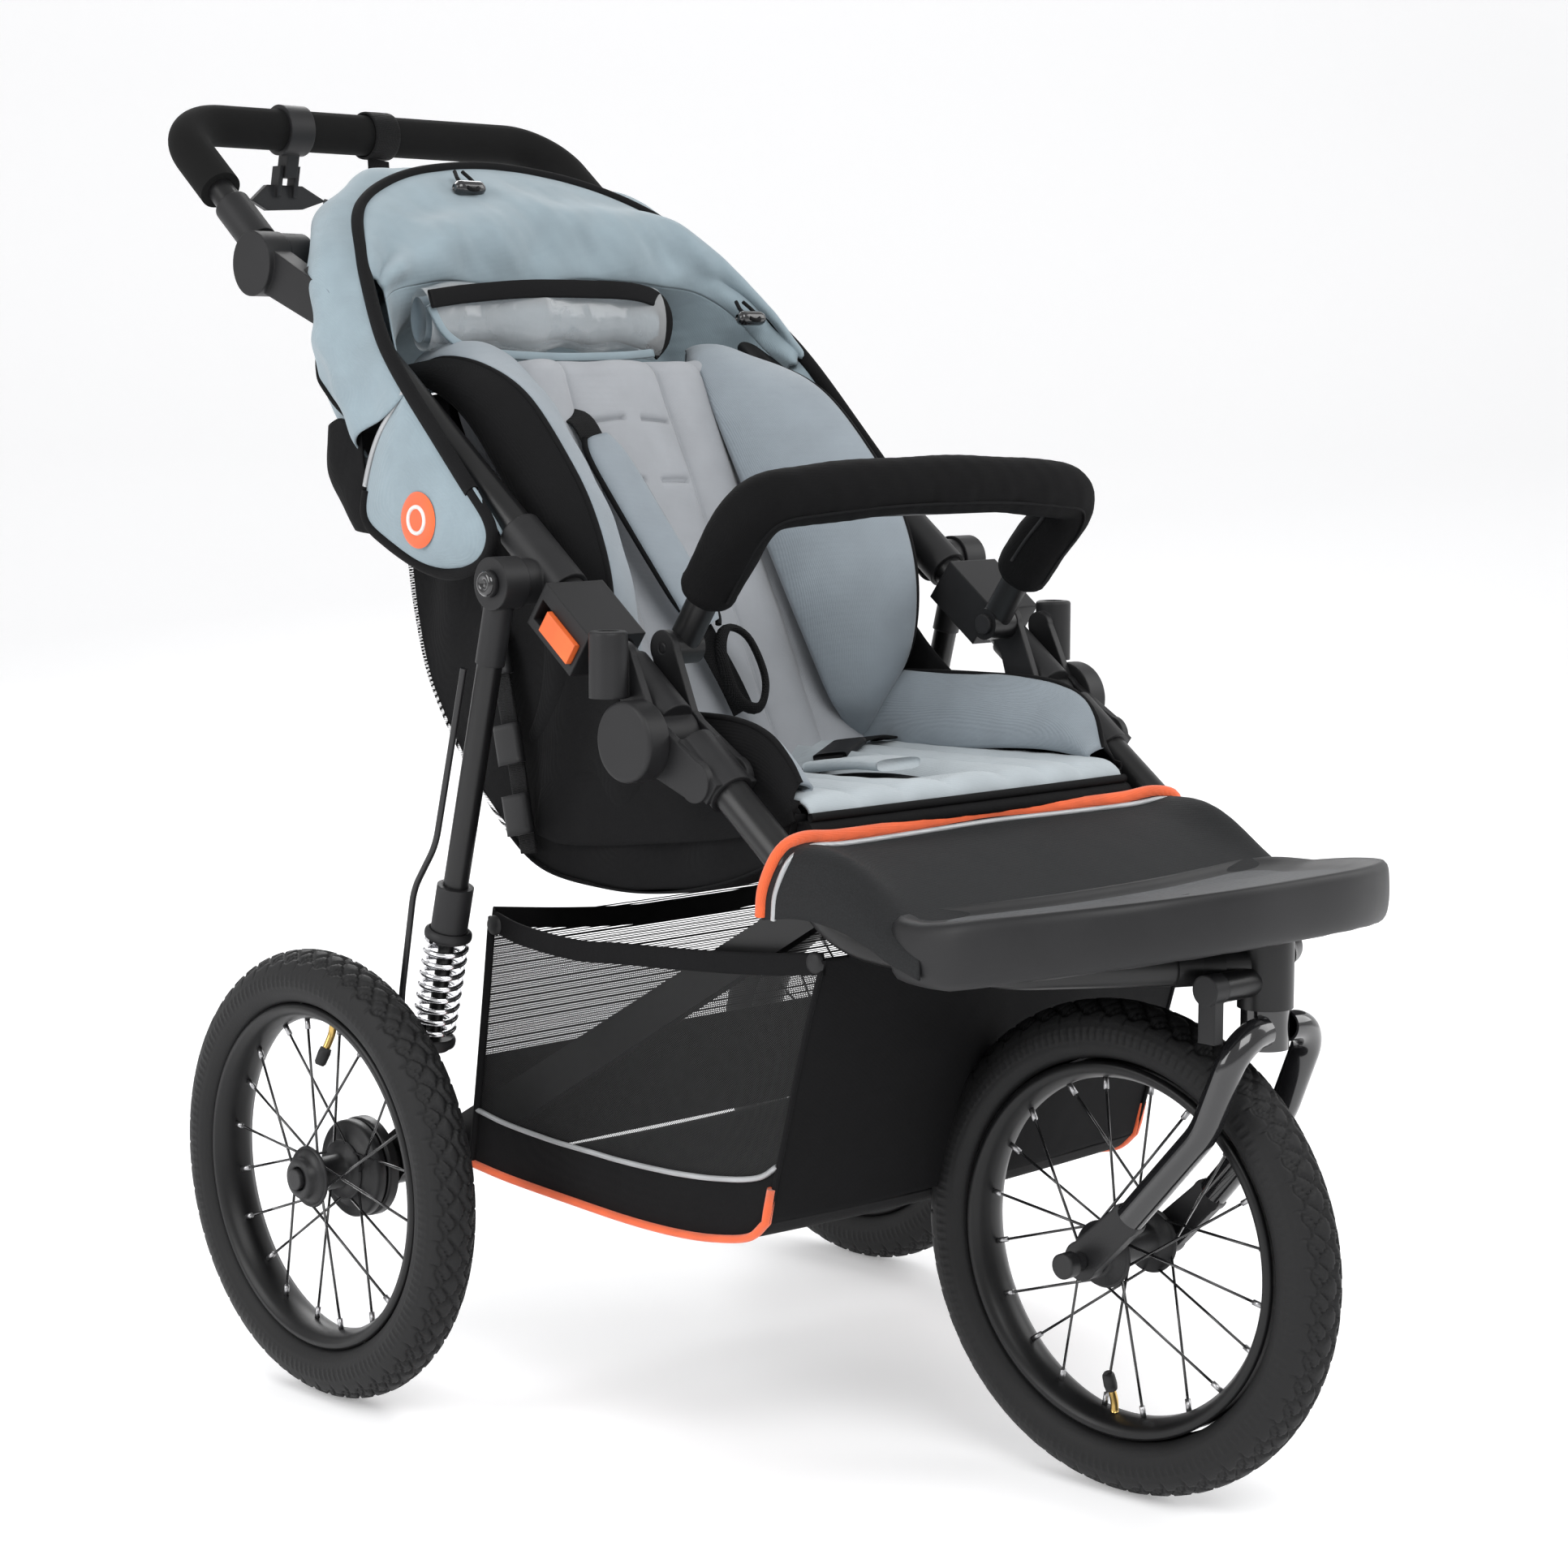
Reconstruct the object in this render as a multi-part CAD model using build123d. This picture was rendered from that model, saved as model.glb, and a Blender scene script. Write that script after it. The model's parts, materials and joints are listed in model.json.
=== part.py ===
from build123d import *
import math
import os

os.makedirs("parts", exist_ok=True)

# ---------------------------------------------------------------- driving dimensions (mm)
# Model frame while building: origin on the ground under the rear axle, +Z up,
# the stroller faces -Y and +X is its left side as the pusher stands. Everything
# is moved by Y_SHIFT at the end so that the origin is under the middle of the
# overall box.
Y_SHIFT = 195.47

R_REAR = 174.5            # rear tyre radius
R_FRONT = 176.5           # front tyre radius
TYRE_HALF_W = 22.5        # tyre section half width
RIM_IN = 121.0            # inner radius of a rim
RIM_OUT = 134.0           # bead radius of a rim
TRACK = 291.0             # rear wheel centre from the middle plane
HUB_END = 318.0           # outer end of a rear hub

TUBE_X = 200.0            # main tubes from the middle plane
TUBE_R = 13.0             # main tube radius
TUBE_WALL = 1.8
SLOPE = math.radians(36.93)   # slope of the main tubes
B0 = (-447.0, 436.0)      # a point of the main tube line (Y, Z)
U = (math.cos(SLOPE), math.sin(SLOPE))
N = (-math.sin(SLOPE), math.cos(SLOPE))

FOLD = (-298.0, 530.0)    # main fold pivot
LEG_TOP = (-164.0, 636.0) # rear leg pivot
LEG_FOOT = (-53.0, 215.0) # foot of the sprung strut
ARM_PIVOT = (-447.0, 432.0)   # front pivot of the rear swing arm
AXLE = (0.0, R_REAR)      # rear axle
HANDLE_HINGE = (178.0, 876.0) # height hinge of the handle
BUMPER_PIVOT = (-275.0, 592.0)
BIGHT = (-150.0, 428.0)   # seat recline pivot

STEER_Y = -680.0          # steering axis
TRAIL = 114.0             # front hub behind the steering axis
SWIVEL_REST = 3.0         # degrees that the front wheel is turned at rest
HUB_Y = STEER_Y + TRAIL

GRIP_R = 17.5             # foam grip radius
HANDLE_R = 11.0           # handle tube radius
HANDLE_TOP = (330.0, 997.0)   # crossbar centre (Y, Z)
SPOKES = 20

nodes = {}


def save(name, *parts):
    solids = []
    for p in parts:
        solids += list(p.solids())
    nodes[name] = solids


def at(a, n=0.0):
    """Point (Y, Z) at a along the main tube line and n above it."""
    return (B0[0] + a * U[0] + n * N[0], B0[1] + a * U[1] + n * N[1])


def p3(x, yz):
    return Vector(x, yz[0], yz[1])


def cyl(p, q, r, r_in=0.0):
    """Round bar, or tube with a bore, between two points."""
    p, q = Vector(*p), Vector(*q)
    d = q - p
    plane = Plane(origin=p, z_dir=d.normalized())
    face = Circle(r)
    if r_in:
        face = face - Circle(r_in)
    return extrude(plane * face, amount=d.length)


def xcyl(yz, x0, x1, r, r_in=0.0):
    return cyl((x0, yz[0], yz[1]), (x1, yz[0], yz[1]), r, r_in)


def bent(points, radii, r, r_in=0.0):
    """Bent tube: straight runs joined by tangent arcs."""
    path = FilletPolyline(*[Vector(*p) for p in points], radius=radii)
    face = Circle(r)
    if r_in:
        face = face - Circle(r_in)
    return sweep(Plane(origin=path @ 0, z_dir=path % 0) * face, path=path)


def slab_x(yz, x0, x1):
    """A YZ outline extruded from x0 to x1."""
    wire = Polyline(*[Vector(x0, y, z) for y, z in yz], close=True)
    return extrude(make_face(wire), amount=x1 - x0, dir=(1, 0, 0))


def slab_z(xy, z0, z1):
    wire = Polyline(*[Vector(x, y, z0) for x, y in xy], close=True)
    return extrude(make_face(wire), amount=z1 - z0, dir=(0, 0, 1))


def link(p, rp, q, rq, x0, x1):
    """Flat link in the YZ plane: two round ends joined by a straight web."""
    dy, dz = q[0] - p[0], q[1] - p[1]
    length = math.hypot(dy, dz)
    ny, nz = -dz / length, dy / length
    k = 0.94
    web = [
        (p[0] + ny * rp * k, p[1] + nz * rp * k),
        (q[0] + ny * rq * k, q[1] + nz * rq * k),
        (q[0] - ny * rq * k, q[1] - nz * rq * k),
        (p[0] - ny * rp * k, p[1] - nz * rp * k),
    ]
    return xcyl(p, x0, x1, rp) + xcyl(q, x0, x1, rq) + slab_x(web, x0, x1)


def both(part):
    return part, mirror(part, about=Plane.YZ)


def ring(centre, axis, outline):
    """Turned ring: outline is (radius, offset along the axis) points."""
    z = Vector(*axis).normalized()
    base = Plane(origin=Vector(*centre), z_dir=z)
    pts = [base.from_local_coords(Vector(r, 0, h)) for r, h in outline]
    face = make_face(Polyline(*pts, close=True))
    return revolve(face, axis=Axis(Vector(*centre), z), revolution_arc=360)


# ---------------------------------------------------------------- main tubes (left side is +X)
def side_pair(name, part):
    """One node for each side, for pieces that move apart from each other."""
    left, right = both(part)
    save(name + "_left", left)
    save(name + "_right", right)


def pair(name, part):
    save(name, *both(part))


lower_path = [
    p3(TUBE_X, at(150)),
    p3(TUBE_X, at(-46)),
    Vector(148, -583, 394),
    Vector(30, -666, 394),
]
lower_tube = bent(lower_path, (70, 60), TUBE_R, TUBE_R - TUBE_WALL)
lug_w = xcyl(ARM_PIVOT, 185.2, 200.0, 12.5) - cyl(p3(TUBE_X, at(-30)), p3(TUBE_X, at(30)), TUBE_R - 0.6)
lug_w = max(lug_w.solids(), key=lambda q: q.volume)
lower_tube = lower_tube + lug_w - xcyl(ARM_PIVOT, 184, 186.5, 5.0)
pair("lower_side_tubes", lower_tube)
pair("upper_side_tubes", cyl(p3(TUBE_X, at(182)), p3(TUBE_X, at(700)), TUBE_R, TUBE_R - TUBE_WALL))

# ---------------------------------------------------------------- fold joint
# lower housing: sleeve on the lower tube and two cheeks that carry the pin
sleeve = cyl(p3(TUBE_X, at(100)), p3(TUBE_X, at(150)), 16.6, TUBE_R)
cheek_out = link(at(118, -2), 15.0, FOLD, 21.0, 216.3, 222.0) - xcyl(FOLD, 216, 223, 5.0)
cheek_out = cheek_out + slab_x([at(101, -8), at(149, -8), at(149, 10), at(101, 10)], 213.3, 219) - cyl(
    p3(TUBE_X, at(95)), p3(TUBE_X, at(160)), 16.6)
cheek_in = (
    link(at(118, -2), 15.0, FOLD, 21.0, 178.0, 183.7)
    + link(FOLD, 17.0, BUMPER_PIVOT, 13.0, 178.0, 183.7)
    + slab_x([at(101, -8), at(149, -8), at(149, 10), at(101, 10)], 181, 186.7)
)
cheek_in = cheek_in - cyl(p3(TUBE_X, at(95)), p3(TUBE_X, at(160)), 16.6)
cheek_in = cheek_in - xcyl(FOLD, 177, 184, 5.0) - xcyl(BUMPER_PIVOT, 177, 184, 4.0)
# accessory post: a round socket beside the joint that accessories plug into
POST = (234.0, -275.0)    # X, Y
post = cyl((POST[0], POST[1], 559.5), (POST[0], POST[1], 607.0), 14.0)
post = fillet(post.edges().filter_by(GeomType.CIRCLE).sort_by(Axis.Z)[-1], 2.5)
post = post + link(FOLD, 17.0, (-275.0, 588.0), 11.0, 216.3, 222.0)
post = post - cyl((POST[0], POST[1], 572.0), (POST[0], POST[1], 608.0), 8.0)
pair("lower_fold_housings", sleeve + (cheek_out + post - xcyl(FOLD, 216, 223, 5.0)) + cheek_in)
# upper housing: turns with the upper tube
upper_eye = xcyl(FOLD, 185.0, 215.0, 20.0) + cyl(p3(TUBE_X, at(177)), p3(TUBE_X, at(236)), 15.9)
upper_eye = upper_eye - cyl(p3(TUBE_X, at(182)), p3(TUBE_X, at(240)), TUBE_R)
upper_eye = upper_eye - xcyl(FOLD, 184, 216, 5.05)
pair("upper_fold_housings", upper_eye)
cap = xcyl(FOLD, 222.0, 241.0, 29.0)
cap = fillet(cap.edges().filter_by(GeomType.CIRCLE).sort_by(Axis.X)[-1], 3.0)
save("fold_joint_caps", *both(cap))

# latch housing with its sliding catch, round the upper tube
LATCH_A0, LATCH_A1 = 252.0, 312.0
latch = slab_x([at(LATCH_A0, -19), at(LATCH_A1, -19), at(LATCH_A1, 18), at(LATCH_A0, 18)], 183.0, 236.0)
latch = latch - cyl(p3(TUBE_X, at(240)), p3(TUBE_X, at(320)), TUBE_R)
slot = slab_x([at(256, -12), at(308, -12), at(308, 6), at(256, 6)], 224.0, 237.0)
latch = latch - slot
pair("latch_housings", latch)
catch = slab_x([at(257, -11.6), at(295, -11.6), at(295, 5.6), at(257, 5.6)], 224.3, 240.0)
pair("fold_catches", catch)


# ---------------------------------------------------------------- rear leg pivot, legs and struts
d_leg = (LEG_FOOT[0] - LEG_TOP[0], LEG_FOOT[1] - LEG_TOP[1])
LEG_LEN = math.hypot(*d_leg)
d_leg = (d_leg[0] / LEG_LEN, d_leg[1] / LEG_LEN)
LEG_X = 241.0


def leg(s):
    return (LEG_TOP[0] + s * d_leg[0], LEG_TOP[1] + s * d_leg[1])


bracket = cyl(p3(TUBE_X, at(322)), p3(TUBE_X, at(392)), 16.6)
bracket = bracket + xcyl(LEG_TOP, 205.0, 229.5, 17.0)
bracket = bracket - cyl(p3(TUBE_X, at(310)), p3(TUBE_X, at(400)), TUBE_R)
bracket = bracket - xcyl(LEG_TOP, 214.0, 231.0, 5.0)
pair("leg_pivot_brackets", bracket)
bolt = xcyl(LEG_TOP, 214.0, 254.0, 5.0) + xcyl(LEG_TOP, 252.5, 256.5, 10.0)


leg_head = xcyl(LEG_TOP, 230.0, 252.0, 19.5) + cyl(p3(LEG_X, leg(8)), p3(LEG_X, leg(62)), 11.0)
leg_head = leg_head - xcyl(LEG_TOP, 229, 253, 5.05) - cyl(p3(LEG_X, leg(30)), p3(LEG_X, leg(63)), 9.5)
pair("rear_leg_tubes", cyl(p3(LEG_X, leg(30)), p3(LEG_X, leg(282)), 9.5, 7.5))
SPRING_TOP, SPRING_END = 282.0, 362.0
collar = cyl(p3(LEG_X, leg(238)), p3(LEG_X, leg(SPRING_TOP)), 14.0) - cyl(
    p3(LEG_X, leg(230)), p3(LEG_X, leg(290)), 9.5)
save("rear_leg_fittings", *both(leg_head), *both(collar))
pair("suspension_springs", cyl(p3(LEG_X, leg(SPRING_TOP + 0.3)), p3(LEG_X, leg(SPRING_END - 0.3)), 14.0, 10.3))
rod = cyl(p3(LEG_X, leg(180)), p3(LEG_X, leg(262)), 7.42) + cyl(p3(LEG_X, leg(262)), p3(LEG_X, leg(426)), 6.0)
rod = rod + cyl(p3(LEG_X, leg(SPRING_END)), p3(LEG_X, leg(SPRING_END + 8)), 14.0)
rod = rod + xcyl(LEG_FOOT, 233.5, 248.5, 13.0)
save("strut_rods", *both(rod))

# ---------------------------------------------------------------- rear swing arm
pivot_pin = xcyl(ARM_PIVOT, 166.5, 186.5, 5.0) + xcyl(ARM_PIVOT, 166.5, 169.4, 12.0)
save("swing_pivot_bushes", *both(xcyl(ARM_PIVOT, 169.8, 184.8, 8.0, 5.05)))
swing = link(ARM_PIVOT, 13.5, AXLE, 17.0, 170.0, 182.5)
swing = swing - xcyl(ARM_PIVOT, 168, 184, 8.05) - xcyl(AXLE, 168, 184, 6.0)
pair("swing_arms", swing)
cross = cyl((-170.0, AXLE[0], AXLE[1]), (170.0, AXLE[0], AXLE[1]), 11.0, 9.0)
for sx in (-1, 1):
    cross = cross + cyl((sx * 150, AXLE[0], AXLE[1]), (sx * 170.0, AXLE[0], AXLE[1]), 11.0)
    cross = cross + cyl((sx * 160, AXLE[0], AXLE[1]), (sx * 311.0, AXLE[0], AXLE[1]), 6.0)
save("rear_axle", cross)
carrier = xcyl(AXLE, 182.8, 250.5, 15.0) + xcyl(AXLE, 250.5, 259.5, 39.0)
carrier = fillet(carrier.edges().filter_by(GeomType.CIRCLE).sort_by(Axis.X)[-1], 3.0)
carrier = carrier + link(AXLE, 19.0, LEG_FOOT, 15.0, 218.0, 231.5) - xcyl(AXLE, 180, 260, 6.0)
save("brake_carriers", *both(carrier))


# ---------------------------------------------------------------- wheels
def tyre(centre, axis, radius):
    """Open casing: a rounded section, hollow, closed on the rim."""
    z = Vector(*axis).normalized()
    base = Plane(origin=Vector(*centre), z_dir=z)
    mid = (radius + RIM_OUT - 3.0) / 2
    h = radius - mid
    steps = 20
    outer, inner = [], []
    for i in range(steps + 1):
        t = math.radians(-62 + (180 + 124) * i / steps)
        outer.append((mid + h * math.sin(t), TYRE_HALF_W * math.cos(t)))
        inner.append((mid + (h - 3.2) * math.sin(t), (TYRE_HALF_W - 2.2) * math.cos(t)))
    pts = [base.from_local_coords(Vector(r, 0, w)) for r, w in outer]
    ins = [base.from_local_coords(Vector(r, 0, w)) for r, w in reversed(inner)]
    a, b = Spline(*pts), Spline(*ins)
    face = make_face([a, Line(a @ 1, b @ 0), b, Line(b @ 1, a @ 0)])
    return revolve(face, axis=Axis(Vector(*centre), z), revolution_arc=360)


def rim(centre, axis):
    return ring(centre, axis, [
        (RIM_IN, -7), (RIM_IN + 4, -12.5), (RIM_OUT - 1, -12.5), (RIM_OUT - 1, -10.5),
        (RIM_IN + 6, -10.0), (RIM_IN + 3, -6), (RIM_IN + 3, 6), (RIM_IN + 6, 10.0),
        (RIM_OUT - 1, 10.5), (RIM_OUT - 1, 12.5), (RIM_IN + 4, 12.5), (RIM_IN, 7)])


def spokes(centre, axis, flange_r, flange_half, count):
    """Straight spokes laced out to both flanges, crossing like a bicycle's."""
    z = Vector(*axis).normalized()
    base = Plane(origin=Vector(*centre), z_dir=z)
    out = []
    for i in range(count):
        side = 1 if i % 2 else -1
        a = 2 * math.pi * i / count
        lean = math.radians(38) * (1 if (i // 2) % 2 else -1)
        p = base.from_local_coords(Vector(
            (flange_r + 1.3) * math.cos(a + lean), (flange_r + 1.3) * math.sin(a + lean), side * flange_half))
        q = base.from_local_coords(Vector(
            (RIM_IN - 0.9) * math.cos(a), (RIM_IN - 0.9) * math.sin(a), side * 2.0))
        out.append(cyl(tuple(p), tuple(q), 1.0))
    return out


rear_c = (TRACK, AXLE[0], AXLE[1])
X = (1.0, 0.0, 0.0)
side_pair("rear_tyre", tyre(rear_c, X, R_REAR))
sp = spokes(rear_c, X, 22.0, 16.0, SPOKES)
rr = rim(rear_c, X)
side_pair("rear_rim", rr)
# hub: drum on the inner side, barrel, two flanges, end boss
hub = ring((0, AXLE[0], AXLE[1]), X, [
    (6.05, 260.3), (38.0, 260.3), (38.0, 270.0), (22.0, 273.0), (22.0, 277.0), (13.0, 279.0),
    (13.0, 303.0), (22.0, 305.0), (22.0, 309.0), (15.5, 311.0), (15.5, HUB_END), (9.0, HUB_END),
    (9.0, 312.0), (6.05, 312.0)])
save("rear_hub_left", hub, *sp)
save("rear_hub_right", mirror(hub, about=Plane.YZ), *[mirror(p, about=Plane.YZ) for p in sp])
side_pair("hub_release_button", xcyl(AXLE, 314.0, HUB_END + 3.0, 8.0))

# ---------------------------------------------------------------- head tube, fork and front wheel
head = cyl((0, STEER_Y, 364.0), (0, STEER_Y, 424.0), 19.0, 13.0)
head = head + (cyl((60, -648, 394), (6, -674, 394), 13.5) + cyl((-60, -648, 394), (-6, -674, 394), 13.5)
               - cyl((0, STEER_Y, 350), (0, STEER_Y, 440), 13.0))
head = head + (cyl((-14.0, STEER_Y, 383.0), (-50.0, STEER_Y, 383.0), 10.0) - cyl((0, STEER_Y, 350), (0, STEER_Y, 440), 15.0))
head = head - nodes["lower_side_tubes"][0] - nodes["lower_side_tubes"][1]
save("head_tube", max(head.solids(), key=lambda q: q.volume))


def swivelled(part):
    """Turn a piece of the front assembly to its rest swivel about the steering axis."""
    return part.moved(Location((0, STEER_Y, 0)) * Location((0, 0, 0), (0, 0, SWIVEL_REST)) * Location((0, -STEER_Y, 0)))


steerer = cyl((0, STEER_Y, 344.0), (0, STEER_Y, 421.0), 12.95) + cyl((0, STEER_Y, 336.0), (0, STEER_Y, 363.4), 16.5)
leg_pts = [(14, -688, 350), (44, -690, 348), (45, -664, 282), (48, -606, 214)]
blade = bent(leg_pts, (24, 60), 10.5, 8.7)
fork = steerer + blade + mirror(blade, about=Plane.YZ)
fork = fork - cyl((0, STEER_Y, 420.9), (0, STEER_Y, 430), 14)
save("fork", swivelled(max(fork.solids(), key=lambda q: q.volume)))
lug = link((-603, 212), 12.0, (HUB_Y, R_FRONT), 14.0, 42.0, 52.0)
lug = lug - cyl((47.2, -620.5, 231.0), (48, -606, 214), 11.0)
lug = lug - xcyl((HUB_Y, R_FRONT), 40, 54, 6.0)
lug_r = mirror(lug, about=Plane.YZ)
save("fork_dropouts", swivelled(lug), swivelled(lug_r))
front_c = (0.0, HUB_Y, R_FRONT)
axle = xcyl((HUB_Y, R_FRONT), -62.0, 58.0, 6.0)
save("front_axle", swivelled(axle))
cap_f = xcyl((HUB_Y, R_FRONT), -72.0, -62.0, 9.0)
save("front_release_knob", swivelled(cap_f))
save("front_tyre", swivelled(tyre(front_c, X, R_FRONT)))
save("front_rim", swivelled(rim(front_c, X)))
hub_f = ring((0, HUB_Y, R_FRONT), X, [
    (6.05, -38.0), (15.0, -38.0), (15.0, -30.0), (22.0, -29.0), (22.0, -25.0), (12.0, -22.0),
    (12.0, 22.0), (22.0, 25.0), (22.0, 29.0), (15.0, 30.0), (15.0, 38.0), (6.05, 38.0)])
save("front_hub", swivelled(hub_f), *[swivelled(p) for p in spokes(front_c, X, 22.0, 27.0, SPOKES)])
lever = cyl((-50.4, STEER_Y, 383.0), (-64.0, STEER_Y, 383.0), 10.5)
lever = lever + extrude(Plane(origin=(-57.5, STEER_Y, 379.0)) * Rectangle(9.0, 14.0), amount=-32.0)
save("swivel_lock_lever", lever)

# ---------------------------------------------------------------- footrest tray
half = [(0, -712), (40, -707), (75, -697), (105, -682), (140, -654), (172, -624), (198, -596), (210, -572),
        (210, -552), (203, -536), (190, -530)]
plan = half + [(-x, y) for x, y in reversed(half[1:])]
TRAY_SLOPE = 0.215


def tray_low(y):
    return 387.0 + (-580.0 - y) * TRAY_SLOPE


wedge = slab_x([(-520, tray_low(-520)), (-730, tray_low(-730)), (-730, 457.5), (-640, 444), (-580, 430), (-520, 417)], -230, 230)
tray = slab_z(plan, 360.0, 470.0) & wedge
inner_plan = [(x * 0.978, -600 + (y + 600) * 0.958) for x, y in plan]
inner_plan = [(x, y - 3 if y > -560 else y) for x, y in inner_plan]
core_w = slab_x([(-520, 340), (-730, 340), (-730, 452.5), (-640, 439), (-580, 425), (-520, 412)], -230, 230)
tray = tray - (slab_z(inner_plan, 350.0, 470.0) & core_w)
for sx in (-1, 1):
    tray = tray - cyl((sx * 166, -560, 394), (sx * 190, -505, 404), 18.5)
save("footrest_tray", max(tray.solids(), key=lambda q: q.volume))

# ---------------------------------------------------------------- handle
hinge_base = xcyl(HANDLE_HINGE, 200.3, 224.0, 26.0) + link(at(672), 16.4, HANDLE_HINGE, 20.0, 203.0, 219.0)
hinge_base = hinge_base + cyl(p3(TUBE_X, at(655)), p3(TUBE_X, at(712)), 16.4)
hinge_base = hinge_base - cyl(p3(TUBE_X, at(640)), p3(TUBE_X, at(700)), TUBE_R) - xcyl(HANDLE_HINGE, 176, 200.3, 27.0)
hinge_base = hinge_base - xcyl(HANDLE_HINGE, 190, 222, 5.0)
pair("handle_hinge_sockets", max(hinge_base.solids(), key=lambda s: s.volume))
h_dir = Vector(0, HANDLE_TOP[0] - HANDLE_HINGE[0], HANDLE_TOP[1] - HANDLE_HINGE[1]).normalized()
hh = Vector(TUBE_X, *HANDLE_HINGE)


def along(s, x=TUBE_X):
    v = Vector(x, *HANDLE_HINGE) + h_dir * s
    return (v.X, v.Y, v.Z)


hub_h = xcyl(HANDLE_HINGE, 177.0, 200.0, 25.0) + cyl(along(12, 192), along(29, 192), 8.0)
hub_h = hub_h + cyl(along(28), along(78), 15.0) - cyl(along(34), along(80), HANDLE_R) - xcyl(HANDLE_HINGE, 176, 201, 5.05)
pair("handle_hinge_hubs", max(hub_h.solids(), key=lambda s: s.volume))
save("upper_pivot_pins", *both(bolt), *both(xcyl(HANDLE_HINGE, 177.5, 222.0, 5.0)))
far_l = (-TUBE_X, HANDLE_TOP[0], HANDLE_TOP[1])
far_r = (TUBE_X, HANDLE_TOP[0], HANDLE_TOP[1])
al, ar = along(34, -TUBE_X), along(34)
save("handle_tube", bent([al, far_l, far_r, ar], 48, HANDLE_R, 9.2))
gl, gr = along(100, -TUBE_X), along(100)
save("handle_grip", bent([gl, far_l, far_r, gr], 48, GRIP_R, HANDLE_R))
ht = HANDLE_TOP
clamp = xcyl(ht, -92.0, -68.0, 21.5, GRIP_R) + slab_x(
    [(ht[0] - 6, ht[1] - 18), (ht[0] + 8, ht[1] - 18), (ht[0] + 13, ht[1] - 40), (ht[0] - 1, ht[1] - 40)], -86, -74)
clamp = clamp - xcyl(ht, -95, -65, GRIP_R)
LEVER_PIVOT = (ht[0] + 6, ht[1] - 34.0)
clamp = clamp - xcyl(LEVER_PIVOT, -90, -70, 2.5)
save("brake_lever_clamp", clamp)
fork_l = slab_x([(ht[0] + 0, ht[1] - 30), (ht[0] + 12, ht[1] - 30), (ht[0] + 18, ht[1] - 56), (ht[0] + 6, ht[1] - 56)], -90.3, -86.3)
fork_r = slab_x([(ht[0] + 0, ht[1] - 30), (ht[0] + 12, ht[1] - 30), (ht[0] + 18, ht[1] - 56), (ht[0] + 6, ht[1] - 56)], -73.7, -69.7)
blade_l = extrude(make_face(Polyline(*[Vector(x, ht[0] + 9, ht[1] + z) for x, z in (
    (-114, -60), (-98, -46), (-62, -46), (-38, -58), (-62, -66), (-98, -68))], close=True)), amount=6.0, dir=(0, 1, 0))
lev = fork_l + fork_r + blade_l + xcyl(LEVER_PIVOT, -90.3, -69.7, 2.45)
save("brake_lever", max(lev.solids(), key=lambda s: s.volume))

# ---------------------------------------------------------------- bumper bar
BX = 164.5
bar_path = [(BX, -280, 604), (BX, -350, 692), (-BX, -350, 692), (-BX, -280, 604)]
run = Vector(0, -350 + 280, 692 - 604).normalized()


def bump(s, x=BX):
    return (x, -280 + run.Y * s, 604 + run.Z * s)


pad_path = [bump(31), (BX, -350, 692), (-BX, -350, 692), bump(31, -BX)]
save("bumper_cover", bent(pad_path, 34, 22.0, 8.02))
ends = xcyl(BUMPER_PIVOT, 153.0, 177.7, 12.5) + cyl((BX, -276, 595), bump(29), 11.5)
ends = ends - cyl(bump(-0.1), bump(35), 8.02) - xcyl(BUMPER_PIVOT, 150, 160, 8.05)
ends = ends - xcyl(BUMPER_PIVOT, 150, 178, 4.05)
ends = max(ends.solids(), key=lambda q: q.volume)
save("bumper_bar", bent(bar_path, 34, 8.0), *both(ends))
side_pair("bumper_button", xcyl(BUMPER_PIVOT, 150.5, 157.0, 8.0))
save("frame_pivot_pins", *both(xcyl(FOLD, 178.0, 222.0, 5.0)), *both(xcyl(BUMPER_PIVOT, 160.2, 183.7, 4.0)), *both(pivot_pin))

# ---------------------------------------------------------------- seat
SEAT_HALF = 165.0
seat_front, seat_rear = (-402.0, 452.0), (-158.0, 412.0)
sd = Vector(0, seat_rear[0] - seat_front[0], seat_rear[1] - seat_front[1]).normalized()
sn = Vector(0, -sd.Z, sd.Y)


def seat_pt(s, h):
    return (seat_front[0] + sd.Y * s + sn.Y * h, seat_front[1] + sd.Z * s + sn.Z * h)


pad = slab_x([seat_pt(-6, 8.3), seat_pt(240, 8.3), seat_pt(240, 36), seat_pt(-6, 42)], -SEAT_HALF, SEAT_HALF)
wing = slab_x([seat_pt(6, 36), seat_pt(236, 30), seat_pt(230, 84), seat_pt(60, 84), seat_pt(22, 62)], 140, SEAT_HALF)
pad = pad + wing + mirror(wing, about=Plane.YZ)
save("seat_base_pad", pad)
# seat side skirt and rear sling: the thin black shell that hangs below the cushions
skirt = slab_x([(-404, 496), (-404, 446), (-366, 428), (-207, 398), (-120, 402), (-96, 420), (-112, 470), (-150, 520), (-250, 500)], 170.0, 174.0)
under = slab_x([(-404, 446), (-366, 428), (-207, 398), (-150, 400), (-150, 396), (-207, 394), (-366, 424), (-406, 442)], -174.0, 174.0)
save("seat_skirt", skirt + under + mirror(skirt, about=Plane.YZ))
back_top = (34.0, 806.0)
bd = Vector(0, back_top[0] - BIGHT[0], back_top[1] - BIGHT[1]).normalized()
bn = Vector(0, -bd.Z, bd.Y)      # towards the child


def back_pt(s, h):
    return (BIGHT[0] + bd.Y * s + bn.Y * h, BIGHT[1] + bd.Z * s + bn.Z * h)


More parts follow.
